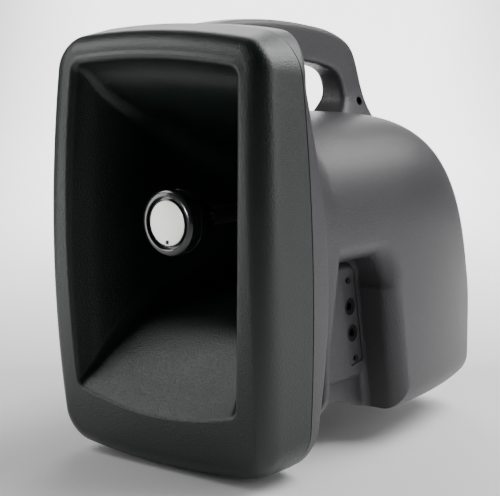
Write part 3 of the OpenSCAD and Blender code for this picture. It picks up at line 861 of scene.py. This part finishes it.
@dataclass
class FrontMoulding:
    """Front moulding: rim, soft lip, mouth and the horn behind it, in one piece."""

    rim: Rim = field(default_factory=Rim)
    mouth_half: float = 78.4
    mouth_top: float = 139.6
    mouth_bottom: float = -106.4
    depth: float = 186.0
    throat: float = 26.0
    axis: float = 23.2
    mouth_corner: float = 5.0
    mouth_round: float = 6.5
    mouth_depth: float = 8.0
    mouth_bows: tuple[float, float, float] = (3.8, 5.0, 11.5)
    horn_bows: tuple[float, float, float] = (3.0, 4.0, 9.0)
    bow_depth: float = 90.0
    joint_gap: float = 0.6
    side_rings: tuple[float, ...] = (44, 36, 28, 21)
    lip_limit: float = 0.62
    round_limit: float = 0.3
    turn_in: tuple[float, float, float] = (76, 38, 14)
    throat_flange: tuple[float, float] = (9, 4)
    seal_edge: float = 1.6
    stations: tuple[tuple[float, float, float, float, float], ...] = (
        (12.5, 76.6, 135, -98.5, 6),
        (26, 71.5, 121.5, -82, 8),
        (52, 64.5, 106, -57, 11),
        (82, 60, 93, -44, 17),
        (116, 51, 77, -33, 25),
        (150, 38, 62, -18, 30),
    )

    def mouth_ring(self, grow: float, y: float) -> np.ndarray:
        """Draws half a ring round the mouth.

        Args:
            grow: How far it is moved outwards.
            y: Its distance from the face.

        Returns:
            The half ring.
        """
        middle = (self.mouth_top + self.mouth_bottom) / 2
        a, h = self.mouth_half + grow, (self.mouth_top - self.mouth_bottom) / 2 + grow
        line = Bowed(a, h, self.mouth_corner + grow, *self.mouth_bows, middle).points()
        return ring_at(line, y + self.rim.face(line[:, 1]))

    def horn_ring(self, station: Sequence[float], grow: float) -> np.ndarray:
        """Draws half a ring of the horn, whose sides' bow fades with depth.

        Args:
            station: Distance from the mouth, half width, top, bottom and corner radius.
            grow: How far it is moved outwards.

        Returns:
            The half ring.
        """
        y, a, top, bottom, r = station
        fade = max(0.0, 1 - y / self.bow_depth)
        bows = [bow * fade for bow in self.horn_bows]
        middle, h = (top + bottom) / 2, (top - bottom) / 2
        line = Bowed(a + grow, h + grow, r + grow, *bows, middle).points()
        return ring_at(line, y + fade * self.rim.face(line[:, 1]))

    def throat_ring(self, radius: float, y: float) -> np.ndarray:
        """Draws half a ring round the throat.

        Args:
            radius: Its radius.
            y: Its distance from the mouth.

        Returns:
            The half ring.
        """
        turn = np.radians(90 - 180 * HALF_INDEX / HALF_INDEX[-1])
        line = np.column_stack([radius * np.cos(turn), radius * np.sin(turn) + self.axis])
        return ring_at(line, y)

    def front(self) -> list[np.ndarray]:
        """Draws the soft lip and the rounded edge of the mouth.

        Returns:
            Half rings from the rim's side to the horn's start.
        """
        rim = self.rim
        edge = self.mouth_ring(0, 0)
        across = edge - rim.ring(0, 0, 0)
        gap = np.linalg.norm(across[:, [0, 2]], axis=1)
        reach = np.minimum(rim.lip, self.lip_limit * gap)
        rounding = np.minimum(self.mouth_round, self.round_limit * gap)
        inwards = across / gap[:, None] * (1, 0, 1)
        rings = []
        for t in np.linspace(0, math.radians(90), 14):
            y = rim.lip * (1 - math.sin(t))
            outer = rim.ring(0, y, rim.lip_share * y / rim.lip)
            rings.append(outer + inwards * (reach * (1 - math.cos(t)))[:, None])
        upright = inwards[:, 2]
        full, less_below, less_above = self.turn_in
        ends = np.radians(full - np.where(upright > 0, less_below, less_above) * upright**2)
        for share in np.linspace(0, 1, 10):
            t = ends * share
            ring = edge - inwards * (rounding * (1 - np.sin(t)))[:, None]
            ring[:, 1] += self.mouth_depth * (1 - np.cos(t))
            rings.append(ring)
        return rings

    def build(self) -> Shape:
        """Makes the closed moulding.

        Returns:
            The moulding.
        """
        rim, last = self.rim, self.rim.depth - self.joint_gap
        span = rim.depth - rim.lip
        sides = [
            rim.ring(0, y, mix(rim.lip_share, 1, (y - rim.lip) / span))
            for y in (last, *self.side_rings)
        ]
        inside = [self.horn_ring(row, 0) for row in smooth_through(self.stations, 6)]
        flange, thick = self.throat_flange
        throat = [
            self.throat_ring(self.throat, self.depth),
            self.throat_ring(self.throat + flange, self.depth),
            self.throat_ring(self.throat + flange, self.depth - thick),
        ]
        behind = smooth_through(self.stations[::-1], 3)
        outside = [self.horn_ring(row, rim.wall) for row in behind]
        back = [
            self.mouth_ring(7, 8),
            rim.ring(rim.wall + 9, 12, 0.3),
            rim.ring(rim.wall, 24, 0.5),
            rim.ring(rim.wall, last, 1),
        ]
        halves = sides + self.front() + inside + throat + outside + back
        return Shape.loft("front_moulding", np.array([mirrored(h) for h in halves]), loop=True)

    def seal(self) -> Shape:
        """Makes the rubber strip in the joint.

        Returns:
            The strip.
        """
        outer, inner = self.seal_edge, self.rim.wall + 1
        rings = []
        for inset, y in ((outer, 1.0), (outer, -0.5), (inner, -0.5), (inner, 1.0)):
            line = self.rim.line(inset)
            rings.append(mirrored(ring_at(line, self.rim.joint(line[:, 1]) + y)))
        return Shape.loft("joint_strip", np.array(rings), loop=True)


# ---- rear housing ----------------------------------------------------------------------------
MIRROR = Matrix.Diagonal((-1, 1, 1, 1))


@dataclass
class RearHousing:
    """Rear housing with its flange, carry handle, side recesses, pods and panel pocket."""

    rim: Rim = field(default_factory=Rim)
    half_width: float = 109.5
    top: float = 98.0
    bottom: float = -141.0
    back: float = 340.0
    wall: float = 3.2
    blend_end: float = 98.0
    grip_half: float = 12.0
    grip_power: float = 5.5
    floor: float = 72.0
    pod_face: float = 78.0
    recess_front: float = 79.0
    recess_back: float = 186.0
    recess_top: float = -9.0
    recess_corner: float = 24.0
    flare: float = 16.0
    lean: float = 10.0
    pod_back: float = 176.0
    pod_top: float = -17.0
    pod_bottom: float = -112.0
    grip_top: tuple[tuple[float, float], ...] = (
        (60, 172), (100, 175), (135, 175), (165, 173), (190, 170), (214, 166), (236, 158.5),
        (249, 149), (257, 134), (262, 118), (267, 102), (276, 86),
    )
    grip_under: tuple[tuple[float, float], ...] = (
        (60, 143), (100, 143.5), (132, 143.5), (160, 142), (186, 139.5), (205, 136.5), (219, 132.5),
        (228, 126.5), (233, 117), (233.5, 108), (229, 100), (218, 87),
    )
    screws_left: tuple[tuple[float, float], ...] = (
        (160, -108), (316, -114), (268, 54), (150, 83), (88, 158),
    )
    screw_right: tuple[float, float] = (253, 105)
    screw_hole: float = 3.72
    panel_lean: float = 9.0
    insert: tuple[float, float] = (194.0, 11.12)
    seam: float = 0.06
    plan_taper: tuple[float, float, float] = (160, 30, 2.3)
    plan_corner: float = 21.0
    foot_corner: float = 9.0
    crown_start: float = 199.0
    crown_fall: tuple[float, float, float] = (26, 171, 5.4)
    crown_power: float = 1.4
    belly: tuple[float, float, float] = (124, 68, 15.5)

    def flange(self, x: np.ndarray, z: np.ndarray) -> np.ndarray:
        """Finds the flange's back edge, which reaches furthest back in the middle.

        Args:
            x: Places across.
            z: Heights.

        Returns:
            Its distance from the mouth.
        """
        across = np.minimum(1, (np.abs(x) / 112) ** 4)
        return 50 + 25 * (1 - across * np.minimum(1, ((z + 45) / 170) ** 2))

    def rounding(self, y: float, r: float) -> float:
        """Share of a rounding of radius r at the back that is used up at y."""
        along = (y - self.back + r) / r
        return 0.0 if along < 0 else 1 - math.sqrt(max(0.0, 1 - along**2))

    def section(self, y: float, inset: float) -> np.ndarray:
        """Draws half of the housing's section: crown, side, lower corner and bottom.

        Args:
            y: Its distance from the mouth.
            inset: How far it is moved inwards.

        Returns:
            The half section, as x and z.
        """
        start, narrowing, power = self.plan_taper
        late = max(0.0, (y - start) / (self.back - start)) ** power
        corner, foot = self.plan_corner, self.foot_corner
        a = self.half_width - narrowing * late - corner * self.rounding(y, corner) - inset
        t = min(1.0, max(0.0, (y - self.crown_start) / (self.back - self.crown_start)))
        slope, drop, sharpness = self.crown_fall
        root = 1 / self.crown_power
        crown = self.top - slope * t * t - drop * (1 - (1 - t**sharpness) ** root) - inset
        start, run, rise = self.belly
        step = 0.5 + 0.5 * math.cos(math.pi * min(1.0, max(0.0, (y - start) / run)))
        low = self.bottom + rise * step + foot * self.rounding(y, foot) + inset
        height = min(105.0, (crown - low) * 0.62)
        spring = crown - height
        r = min(22 - inset, (crown - low) * 0.25)
        rows = []
        for index in HALF_INDEX:
            part, u = on_index(SECTION_STOPS, index)
            if part == 0:
                angle = math.pi / 2 * u
                up = max(0.0, math.cos(angle)) ** root
                rows.append((a * math.sin(angle) ** root, spring + height * up))
            elif part == 1:
                rows.append((a, mix(spring, low + r, u)))
            elif part == 2:
                rows.append(arc(a - r, low + r, r, -90 * u))
            else:
                rows.append((mix(a - r, 0, u), low))
        return np.array(rows)

    def dish(self, t: float, inset: float) -> np.ndarray:
        """Draws half a ring of the hollow between the flange's back and the housing.

        Args:
            t: Its place, from the flange (0) to the housing (1).
            inset: How far it is moved inwards.

        Returns:
            The half ring.
        """
        start_line, end_line = self.rim.line(7 + inset * 0.6), self.section(self.blend_end, inset)
        start = self.flange(start_line[:, 0], start_line[:, 1]) - inset
        share = np.clip((end_line[:, 1] + 70) / 70, 0, 1)
        end = mix(start + 5, self.blend_end, share)
        return ring_at(mix(start_line, end_line, t), mix(start, end, 1 - math.sqrt(1 - t * t)))

    def body(self, name: str, inset: float) -> Shape:
        """Makes the housing's closed solid, without its handle and recesses.

        Args:
            name: Name of the solid.
            inset: How far its skin is moved inwards.

        Returns:
            The solid.
        """
        line = self.rim.line(0.6 + inset)
        first = 1.2 if inset == 0 else -6.0
        rings = [ring_at(line, self.rim.joint(line[:, 1]) + first)]
        for t in quarter(0, 78, 7):
            line = self.rim.line(0.6 + inset + 6.4 * (1 - math.cos(t)))
            rings.append(ring_at(line, self.flange(*line.T) - 5 * (1 - math.sin(t)) - inset))
        rings += [self.dish(t, inset) for t in np.sin(quarter(0, 90, 14))]
        far = self.back - 30
        for y in (*np.arange(122, far, 4.0), *(far + 29.96 * np.sin(quarter(0, 90, 26)))):
            rings.append(ring_at(self.section(y, inset), y - inset * (y / self.back) ** 6))
        return Shape.loft(name, np.array([mirrored(r) for r in rings]))

    def grip(self, name: str) -> Shape:
        """Makes the handle's closed solid, which swells at its foot.

        Args:
            name: Name of the solid.

        Returns:
            The solid.
        """
        steps = 6
        upper = smooth_through(self.grip_top, steps)
        lower = smooth_through(self.grip_under, steps)
        turn = np.radians(np.arange(0, 360, 6.0))
        power = 2 / self.grip_power
        side = np.sign(np.sin(turn)) * np.abs(np.sin(turn)) ** power
        up = np.sign(np.cos(turn)) * np.abs(np.cos(turn)) ** power
        rings = []
        for k, (a, b) in enumerate(zip(upper, lower)):
            (y, z), (dy, dz) = (a + b) / 2, (a - b) / 2
            swell = 10 * max(0.0, (k / steps - 8) / 3) ** 2
            across = (self.grip_half + swell) * side
            rings.append(np.column_stack([across, y + dy * up, z + dz * up]))
        return Shape.loft(name, np.array(rings))

    def recess_outline(self, grow: float, front: float) -> np.ndarray:
        """Draws a recess seen from the side.

        Args:
            grow: How far its top and back are moved outwards.
            front: Distance of its front edge from the mouth.

        Returns:
            The closed outline, as y and z.
        """
        r = self.recess_corner
        tan = math.tan(math.radians(self.lean))
        depth = self.bottom - 20
        cz = self.recess_top - r
        cy = self.recess_back - r - (cz - self.bottom + 10) * tan
        points = [(front, mix(depth, -75, t)) for t in np.linspace(0, 1, 12)]
        top = self.recess_top + grow
        points += [(front + 14 * t, mix(-75, top, t)) for t in np.linspace(0.08, 1, 12)]
        points += [(mix(front + 14, cy, t), cz + r + grow) for t in np.linspace(0.08, 0.96, 12)]
        points += [arc(cy, cz, r + grow, t) for t in np.linspace(90, -self.lean, 28)]
        last = arc(cy, cz, r + grow, -self.lean)
        run = (last[1] - depth) * tan
        points += [(last[0] + run * t, mix(last[1], depth, t)) for t in np.linspace(0.03, 1, 30)]
        return np.array(points)

    def recess(self, name: str, extra: float = 0.0) -> Shape:
        """Makes the right recess's cutter: a rounded floor, walls and a flared edge.

        Args:
            name: Name of the cutter.
            extra: How far it is grown, for the wall behind it.

        Returns:
            The cutter.
        """
        front = self.recess_front - extra
        inner, start, bend = 7.0, self.half_width - self.flare, self.flare - extra
        floor = self.floor - extra
        steps = [
            (floor + inner * (1 - math.cos(t)), inner * (math.sin(t) - 1))
            for t in quarter(0, 90, 9)
        ]
        for t in quarter(0, 84, 15):
            steps.append((start + bend * math.sin(t), bend * (1 - math.cos(t))))
        steps += [(start + bend + 0.4, bend), (self.half_width + 14, bend + 0.5)]
        rings = []
        for x, grow in steps:
            y, z = self.recess_outline(grow + extra, front).T
            rings.append(np.column_stack([np.full(len(y), x), y, z]))
        return Shape.loft(name, np.array(rings))

    def pod(self, name: str) -> Shape:
        """Makes the crowned block that carries the jack panel.

        Args:
            name: Name of the block.

        Returns:
            The block.
        """
        tan = math.tan(math.radians(self.lean))
        rings = []
        edge = 4.6
        foot = self.pod_face - edge
        crown = [(70, 0.0), (72, 0.0), (foot, 0.0)]
        crown += [(foot + edge * math.sin(t), edge * (1 - math.cos(t))) for t in quarter(12, 90, 9)]
        for x, inset in crown:
            r = 12 - inset
            low, high = self.pod_bottom + inset, self.pod_top - inset
            lower = self.pod_back - r * tan - inset
            upper = self.pod_back - (high - r - self.pod_bottom) * tan - inset
            points = [(72, low), *[(mix(72, lower - r, t), low) for t in (0.3, 0.6, 0.9)]]
            points += [arc(lower - r, low + r, r, t) for t in np.linspace(-90, -self.lean, 12)]
            points += [arc(upper - r, high - r, r, t) for t in np.linspace(-self.lean, 90, 14)]
            points += [*[(mix(upper - r, 72, t), high) for t in (0.1, 0.4, 0.7)], (72, high)]
            rings.append(np.array([(x, y, z) for y, z in points]))
        return Shape.loft(name, np.array(rings))

    def panel_frame(self) -> Matrix:
        """Places the right jack panel.

        Returns:
            Its frame: x back, y up and z out of its face.
        """
        lean = Matrix.Rotation(math.radians(self.lean), 4, "X")
        turn = Matrix(((0, 0, 1, 0), (1, 0, 0, 0), (0, 1, 0, 0), (0, 0, 0, 1)))
        return Matrix.Translation((self.pod_face - 1, self.pod_back - 21.5, -63)) @ lean @ turn

    def control_frame(self) -> Matrix:
        """Places the control panel.

        Returns:
            Its frame: x across, y up and z out of its face.
        """
        lean = math.radians(self.panel_lean)
        sin, cos = math.sin(lean), math.cos(lean)
        axes = Matrix(((1, 0, 0, 0), (0, -sin, cos, 0), (0, cos, sin, 0), (0, 0, 0, 1)))
        return Matrix.Translation((0, self.back - 14, -62)) @ axes

    def screw_way(self, name: str, place: Sequence[float], x0: float, x1: float) -> Shape:
        """Cutter along x for a screw hole."""
        rod = Shape.rod(name, self.screw_hole, x0, x1, 32)
        return rod.place(Matrix.Translation((0, *place)) @ Matrix.Rotation(math.pi / 2, 4, "Y"))

    def both(self, make: Callable[[str], Shape], name: str) -> list[Shape]:
        """A right-hand solid and its mirror image."""
        return [make(name + "_right"), make(name + "_left").place(MIRROR)]

    def hollow(self) -> Shape:
        """Makes the space inside the housing, with room left for its inner walls.

        Returns:
            The space.
        """
        space = self.body("space", self.wall)
        space.combine(Blend.CUT, *self.both(lambda n: self.recess(n, self.wall), "recess_wall"))
        pocket = Shape.box("pocket_wall", (-66, -40, -5.5), (66, 40, 60))
        boss = Shape.rod("insert_boss", 15, self.bottom - 5, self.bottom + 26)
        boss.place(Matrix.Translation((0, self.insert[0], 0)))
        return space.combine(Blend.CUT, pocket.place(self.control_frame()), boss)

    def cutters(self) -> list[Shape]:
        """Makes everything that opens the skin from outside.

        Returns:
            The cutters.
        """
        control = self.control_frame()
        cuts = self.both(self.recess, "recess")
        cuts.append(Shape.box("pocket", (-62.3, -36.3, -2.5), (62.3, 36.3, 60)).place(control))
        cuts.append(Shape.box("pocket_window", (-54, -28, -20), (54, 28, 20)).place(control))
        under = self.bottom - 5
        cuts.append(Shape.box("battery_door", (-64, 216, under), (64, 296, self.bottom + 20)))
        along, radius = self.insert
        insert = Shape.rod("insert_hole", radius, under, self.bottom + 22.2)
        cuts.append(insert.place(Matrix.Translation((0, along, 0))))
        cuts.append(self.screw_way("screw_right", self.screw_right, 5, 60))
        for k, place in enumerate(self.screws_left):
            depth = 5 if place[1] > 100 else 14
            cuts.append(self.screw_way(f"screw_left_{k}", place, -150, -depth))
        return cuts

    def pod_slots(self) -> list[Shape]:
        """Makes the cutters that seat both side panels in their pods.

        Returns:
            The cutters.
        """
        panel = self.panel_frame()
        made = []
        for side, name in ((Matrix.Identity(4), "right"), (MIRROR, "left")):
            slot = RoundedPlate(18.4, 74.4, 3.0).solid("slot_" + name, -2.5, 8)
            made.append(slot.place(side @ panel))
            way = Shape.box("slot_way_" + name, (-7.2, -27, -12), (7.2, 27, 8))
            made.append(way.place(side @ panel))
        return made

    def build(self) -> tuple[Shape, Shape]:
        """Makes the whole housing and splits it at its middle.

        Returns:
            The right and the left half.
        """
        whole = self.body("housing", 0)
        whole.combine(Blend.CUT, self.hollow())
        whole.combine(Blend.JOIN, self.grip("grip"))
        whole.combine(Blend.CUT, *self.cutters())
        whole.combine(Blend.JOIN, *self.both(self.pod, "pod"))
        whole.combine(Blend.CUT, *self.pod_slots())
        left = whole.copy("rear_shell_left")
        whole.object.name = "rear_shell_right"
        whole.combine(Blend.KEEP, Shape.box("half_right", (self.seam, 0, -300), (300, 500, 300)))
        left.combine(Blend.KEEP, Shape.box("half_left", (-300, 0, -300), (-self.seam, 500, 300)))
        return whole, left


@dataclass(frozen=True)
class RoundedPlate:
    """Flat plate with rounded corners."""

    width: float
    height: float
    corner: float

    def outline(self) -> np.ndarray:
        """Draws the plate's outline.

        Returns:
            The closed outline, as x and y.
        """
        r = self.corner
        a, b = self.width / 2 - r, self.height / 2 - r
        points = []
        for k, (sx, sy) in enumerate(((1, 1), (-1, 1), (-1, -1), (1, -1))):
            points += [arc(sx * a, sy * b, r, 90 * k + t) for t in np.linspace(0, 90, 9)]
        return np.array(points)

    def solid(self, name: str, bottom: float, top: float) -> Shape:
        """Makes the plate.

        Args:
            name: Name of the plate.
            bottom: Height of its bottom.
            top: Height of its top.

        Returns:
            The plate.
        """
        line = self.outline()
        rings = [np.column_stack([line, np.full(len(line), z)]) for z in (bottom, top)]
        return Shape.loft(name, np.array(rings))


# ---- centre cap ------------------------------------------------------------------------------
@dataclass
class CentreCap:
    """Turned cap in the middle of the horn, with a pale disc in a groove."""

    radius: float = 25.4
    disc: float = 17.2
    face: float = 21.6
    axis: float = 23.2

    def along(self) -> Matrix:
        """Turns z to point back along the horn's axis."""
        return Matrix.Translation((0, self.face, self.axis)) @ Matrix.Rotation(-math.pi / 2, 4, "X")

    def cap(self) -> Shape:
        """Makes the ring, its groove and the tapered body behind.

        Returns:
            The cap.
        """
        r, d = self.radius, self.disc
        seat = [(0.3, 1.4), (d + 0.2, 1.4), (d + 0.2, 0.1), (d + 0.5, -0.2), (d + 0.9, 0.0)]
        groove = [(d + 1.1, 1.0), (d + 1.2, 3.0), (d + 2.6, 3.0), (d + 2.8, 0.6), (d + 3.1, -0.4)]
        crown = [(r - 4.6 + 4.6 * math.sin(t), 1.9 - 2.6 * math.cos(t)) for t in quarter(0, 90, 9)]
        neck = [(r, 8.6), (r - 0.3, 9.0), (r - 1.6, 9.2), (r - 1.8, 9.6), (r - 1.8, 10.6)]
        neck += [(r - 1.6, 11.0), (r - 0.4, 11.2), (r - 0.1, 11.6), (r - 0.2, 16), (r - 2.6, 19)]
        tail = [(20, 24), (16, 31), (12, 38), (10, 44), (7.2, 44), (7.2, 30), (0.3, 30)]
        profile = seat + groove + crown + neck + tail
        return Shape.turned("horn_cap", np.array(profile), 128).place(self.along())

    def badge(self) -> Shape:
        """Makes the plain pale disc, with a notch at its bottom for the tool that lifts it.

        Returns:
            The disc.
        """
        d = self.disc
        profile = [(0.2, 1.4), (0.2, -0.05), (8, 0.0)]
        profile += [(d - 0.5, 0.05), (d - 0.15, 0.15), (d, 0.4), (d, 1.4)]
        disc = Shape.turned("cap_badge", np.array(profile), 128)
        notch = Shape.box("notch", (-1.7, d - 4.2, -1), (1.7, d - 1.0, 3))
        core = Shape.rod("core", 0.6, -0.05, 1.4, 24)
        return disc.combine(Blend.JOIN, core).combine(Blend.CUT, notch).place(self.along())


# ---- small carried-over pieces ---------------------------------------------------------------
@dataclass
class CarriedOver:
    """Nodes whose shape is right: they keep it, and get finishes and eased edges."""

    workshop: Workshop
    edge: float = 0.00018

    def dress(self, shown_elsewhere: set[str]) -> None:
        """Paints every node that no new piece stands for.

        Args:
            shown_elsewhere: Nodes that new pieces stand for.
        """
        for row in frame["record"]["subparts"]:
            name = row["node"]
            if name in shown_elsewhere:
                continue
            node = frame["nodes"][name]
            node.data.materials.clear()
            node.data.materials.append(self.workshop.paints.get(row["material_slot"]))
            weld = node.modifiers.new("weld", "WELD")
            weld.merge_threshold = 0.000002
            ease = node.modifiers.new("ease", "BEVEL")
            ease.width = self.edge
            ease.segments = 2
            ease.limit_method = "ANGLE"
            ease.angle_limit = math.radians(40)
            LOG.info("node %s: finish %s", name, row["material_slot"])


# ---- studio ----------------------------------------------------------------------------------
def hang_light(data: bpy.types.Light, place: Vector, aim: Vector) -> None:
    """Hangs a light and points it.

    Args:
        data: The light.
        place: Where it hangs.
        aim: What it points at.
    """
    light = bpy.data.objects.new(data.name, data)
    light.location = place
    light.rotation_euler = (aim - place).to_track_quat("-Z", "Y").to_euler()
    bpy.context.scene.collection.objects.link(light)


@dataclass(frozen=True)
class Softbox:
    """A rectangular area light."""

    name: str
    place: tuple[float, float, float]
    aim: tuple[float, float, float]
    size: tuple[float, float]
    power: float

    def hang(self) -> None:
        """Adds the light, aimed at its target."""
        data = bpy.data.lights.new(self.name, "AREA")
        data.shape = "RECTANGLE"
        data.size, data.size_y = self.size
        data.energy = self.power
        hang_light(data, Vector(self.place), Vector(self.aim))


@dataclass
class Studio:
    """Camera, lights, floor and backdrop."""

    azimuth: float = 38.849
    elevation: float = 8.848
    roll: float = -0.294
    lens: float = 105.95
    stand: tuple[float, float, float] = (738.17, -795.24, 175.20)
    snoot_power: float = 22.0
    snoot_angle: float = 3.6
    snoot_from: tuple[float, float, float] = (-0.25, -0.75, 0.05)
    room_light: float = 0.03
    glow: float = 3.0
    floor_width: float = 3.2
    floor_front: float = -4.0
    floor_back: float = 1.2
    bend: float = 1.2
    wall_top: float = 4.0
    lights: tuple[Softbox, ...] = (
        Softbox("top_box", (0.55, 0.70, 1.25), (0.05, 0.1, 0.2), (1.2, 1.0), 32.0),
        Softbox("right_box", (1.5, 0.40, 0.45), (0.0, 0.1, 0.15), (1.0, 1.0), 10.0),
        Softbox("left_low", (-0.54, -0.57, 0.20), (-0.11, -0.17, 0.18), (0.24, 0.45), 1.6),
        Softbox("left_high", (-0.48, -0.44, 0.64), (-0.10, -0.17, 0.31), (0.30, 0.30), 2.0),
    )

    def camera(self, datum: Datum) -> None:
        """Adds the camera.

        Args:
            datum: The working frame that its stand is given in.
        """
        a, e, roll = (math.radians(v) for v in (self.azimuth, self.elevation, self.roll))
        back = Vector((math.sin(a) * math.cos(e), -math.cos(a) * math.cos(e), math.sin(e)))
        right = Vector((math.cos(a), math.sin(a), 0))
        up = back.cross(right)
        x = right * math.cos(roll) + up * math.sin(roll)
        y = up * math.cos(roll) - right * math.sin(roll)
        data = bpy.data.cameras.new("camera")
        data.lens = self.lens
        data.sensor_width = 36
        camera = bpy.data.objects.new("camera", data)
        spot = datum.seat(np.array(self.stand))
        aim = Matrix((x, y, back)).transposed().to_4x4()
        camera.matrix_world = Matrix.Translation(Vector(spot)) @ aim
        bpy.context.scene.collection.objects.link(camera)
        bpy.context.scene.camera = camera

    def sweep(self) -> None:
        """Adds the pale floor that curves up into a backdrop behind the object."""
        edge, bend = self.floor_back, self.bend
        line = [(self.floor_front, 0.0), (edge, 0.0)]
        line += [(edge + bend * math.sin(t), bend * (1 - math.cos(t))) for t in quarter(10, 90, 9)]
        line.append((edge + bend, self.wall_top))
        width = np.linspace(-self.floor_width, self.floor_width, 3)
        rows = np.array([[(x, y, z) for x in width] for y, z in line])
        columns = len(width)
        faces = []
        for j in range(len(line) - 1):
            for i in range(columns - 1):
                k = j * columns + i
                faces.append((k, k + 1, k + columns + 1, k + columns))
        sheet = Shape("studio_floor", rows, faces).object
        turn = Matrix.Rotation(math.radians(self.azimuth), 4, "Z")
        sheet.data.transform(turn)
        sheet.data.shade_smooth()
        sheet.data.materials.append(self.floor_paint(turn))

    def floor_paint(self, turn: Matrix) -> bpy.types.Material:
        """Paints the sweep, with a glow on the backdrop that fades to both sides.

        Args:
            turn: How the sweep is turned.

        Returns:
            The material.
        """
        graph = Graph("floor_paint")
        tone = graph.mix((0.86, 0.86, 0.86, 1), (0.88, 0.88, 0.88, 1), graph.noise(30.0))
        graph.feed(graph.shader.inputs["Base Color"], tone)
        graph.shader.inputs["Roughness"].default_value = 0.9
        away, aside = (self.distance(graph, turn @ Vector(v)) for v in ((0, 1, 0), (1, 0, 0)))
        middle = graph.ramp(aside * aside, [(0.12, 1.0), (0.50, 0.0)])
        glow = graph.ramp(0.25 * away, [(0.05, 0.0), (0.40, 1.0)]) * middle
        graph.feed(graph.shader.inputs["Emission Color"], glow)
        graph.shader.inputs["Emission Strength"].default_value = self.glow
        return graph.material

    @staticmethod
    def distance(graph: Graph, way: Vector) -> Signal:
        """Measures how far a point lies along a direction.

        Args:
            graph: The material's graph.
            way: The direction.

        Returns:
            The distance in metres.
        """
        inputs = {0: graph.place, 1: tuple(way)}
        node = graph.add("ShaderNodeVectorMath", {"operation": "DOT_PRODUCT"}, inputs)
        return Signal(graph, node.outputs["Value"])

    def snoot(self) -> None:
        """Adds a narrow light on the centre cap's disc."""
        data = bpy.data.lights.new("disc_snoot", "SPOT")
        data.energy = self.snoot_power
        data.spot_size = math.radians(self.snoot_angle)
        data.spot_blend = 0.5
        data.shadow_soft_size = 0.01
        low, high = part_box("cap_disc")
        aim = (low + high) / 2
        hang_light(data, aim + Vector(self.snoot_from), aim)

    def sky(self) -> None:
        """Sets the even light that fills the room."""
        world = bpy.data.worlds.new("room")
        world.use_nodes = True
        background = world.node_tree.nodes["Background"]
        background.inputs["Color"].default_value = (1, 1, 1, 1)
        background.inputs["Strength"].default_value = self.room_light
        bpy.context.scene.world = world

    def build(self, datum: Datum) -> None:
        """Sets up the studio.

        Args:
            datum: The working frame.
        """
        self.camera(datum)
        for light in self.lights:
            light.hang()
        self.snoot()
        self.sweep()
        self.sky()


def main() -> None:
    """Builds every sub-assembly in order."""
    logging.basicConfig(level=logging.INFO, format="%(message)s")
    datum = Datum.from_frame()
    workshop = Workshop(datum, Paintbox())
    Studio().build(datum)
    front = FrontMoulding()
    moulding, strip = front.build(), front.seal()
    right, left = RearHousing().build()
    cap = CentreCap()
    pieces = (
        (moulding, "front_plastic", "horn_moulding", 60.0),
        (strip, "seal_rubber", "rim_seal", 32.0),
        (right, "housing_plastic", "rear_housing_right", 32.0),
        (left, "housing_plastic", "rear_housing_left", 32.0),
        (cap.cap(), "gloss_black", "centre_cap", 32.0),
        (cap.badge(), "white_disc", "cap_disc", 32.0),
    )
    for shape, slot, node, crease in pieces:
        workshop.deliver(shape, "housing", slot, node, crease)
    CarriedOver(workshop).dress({node for _, _, node, _ in pieces})
    LOG.info("%d new pieces", workshop.count)


if __name__ == "__main__":
    main()
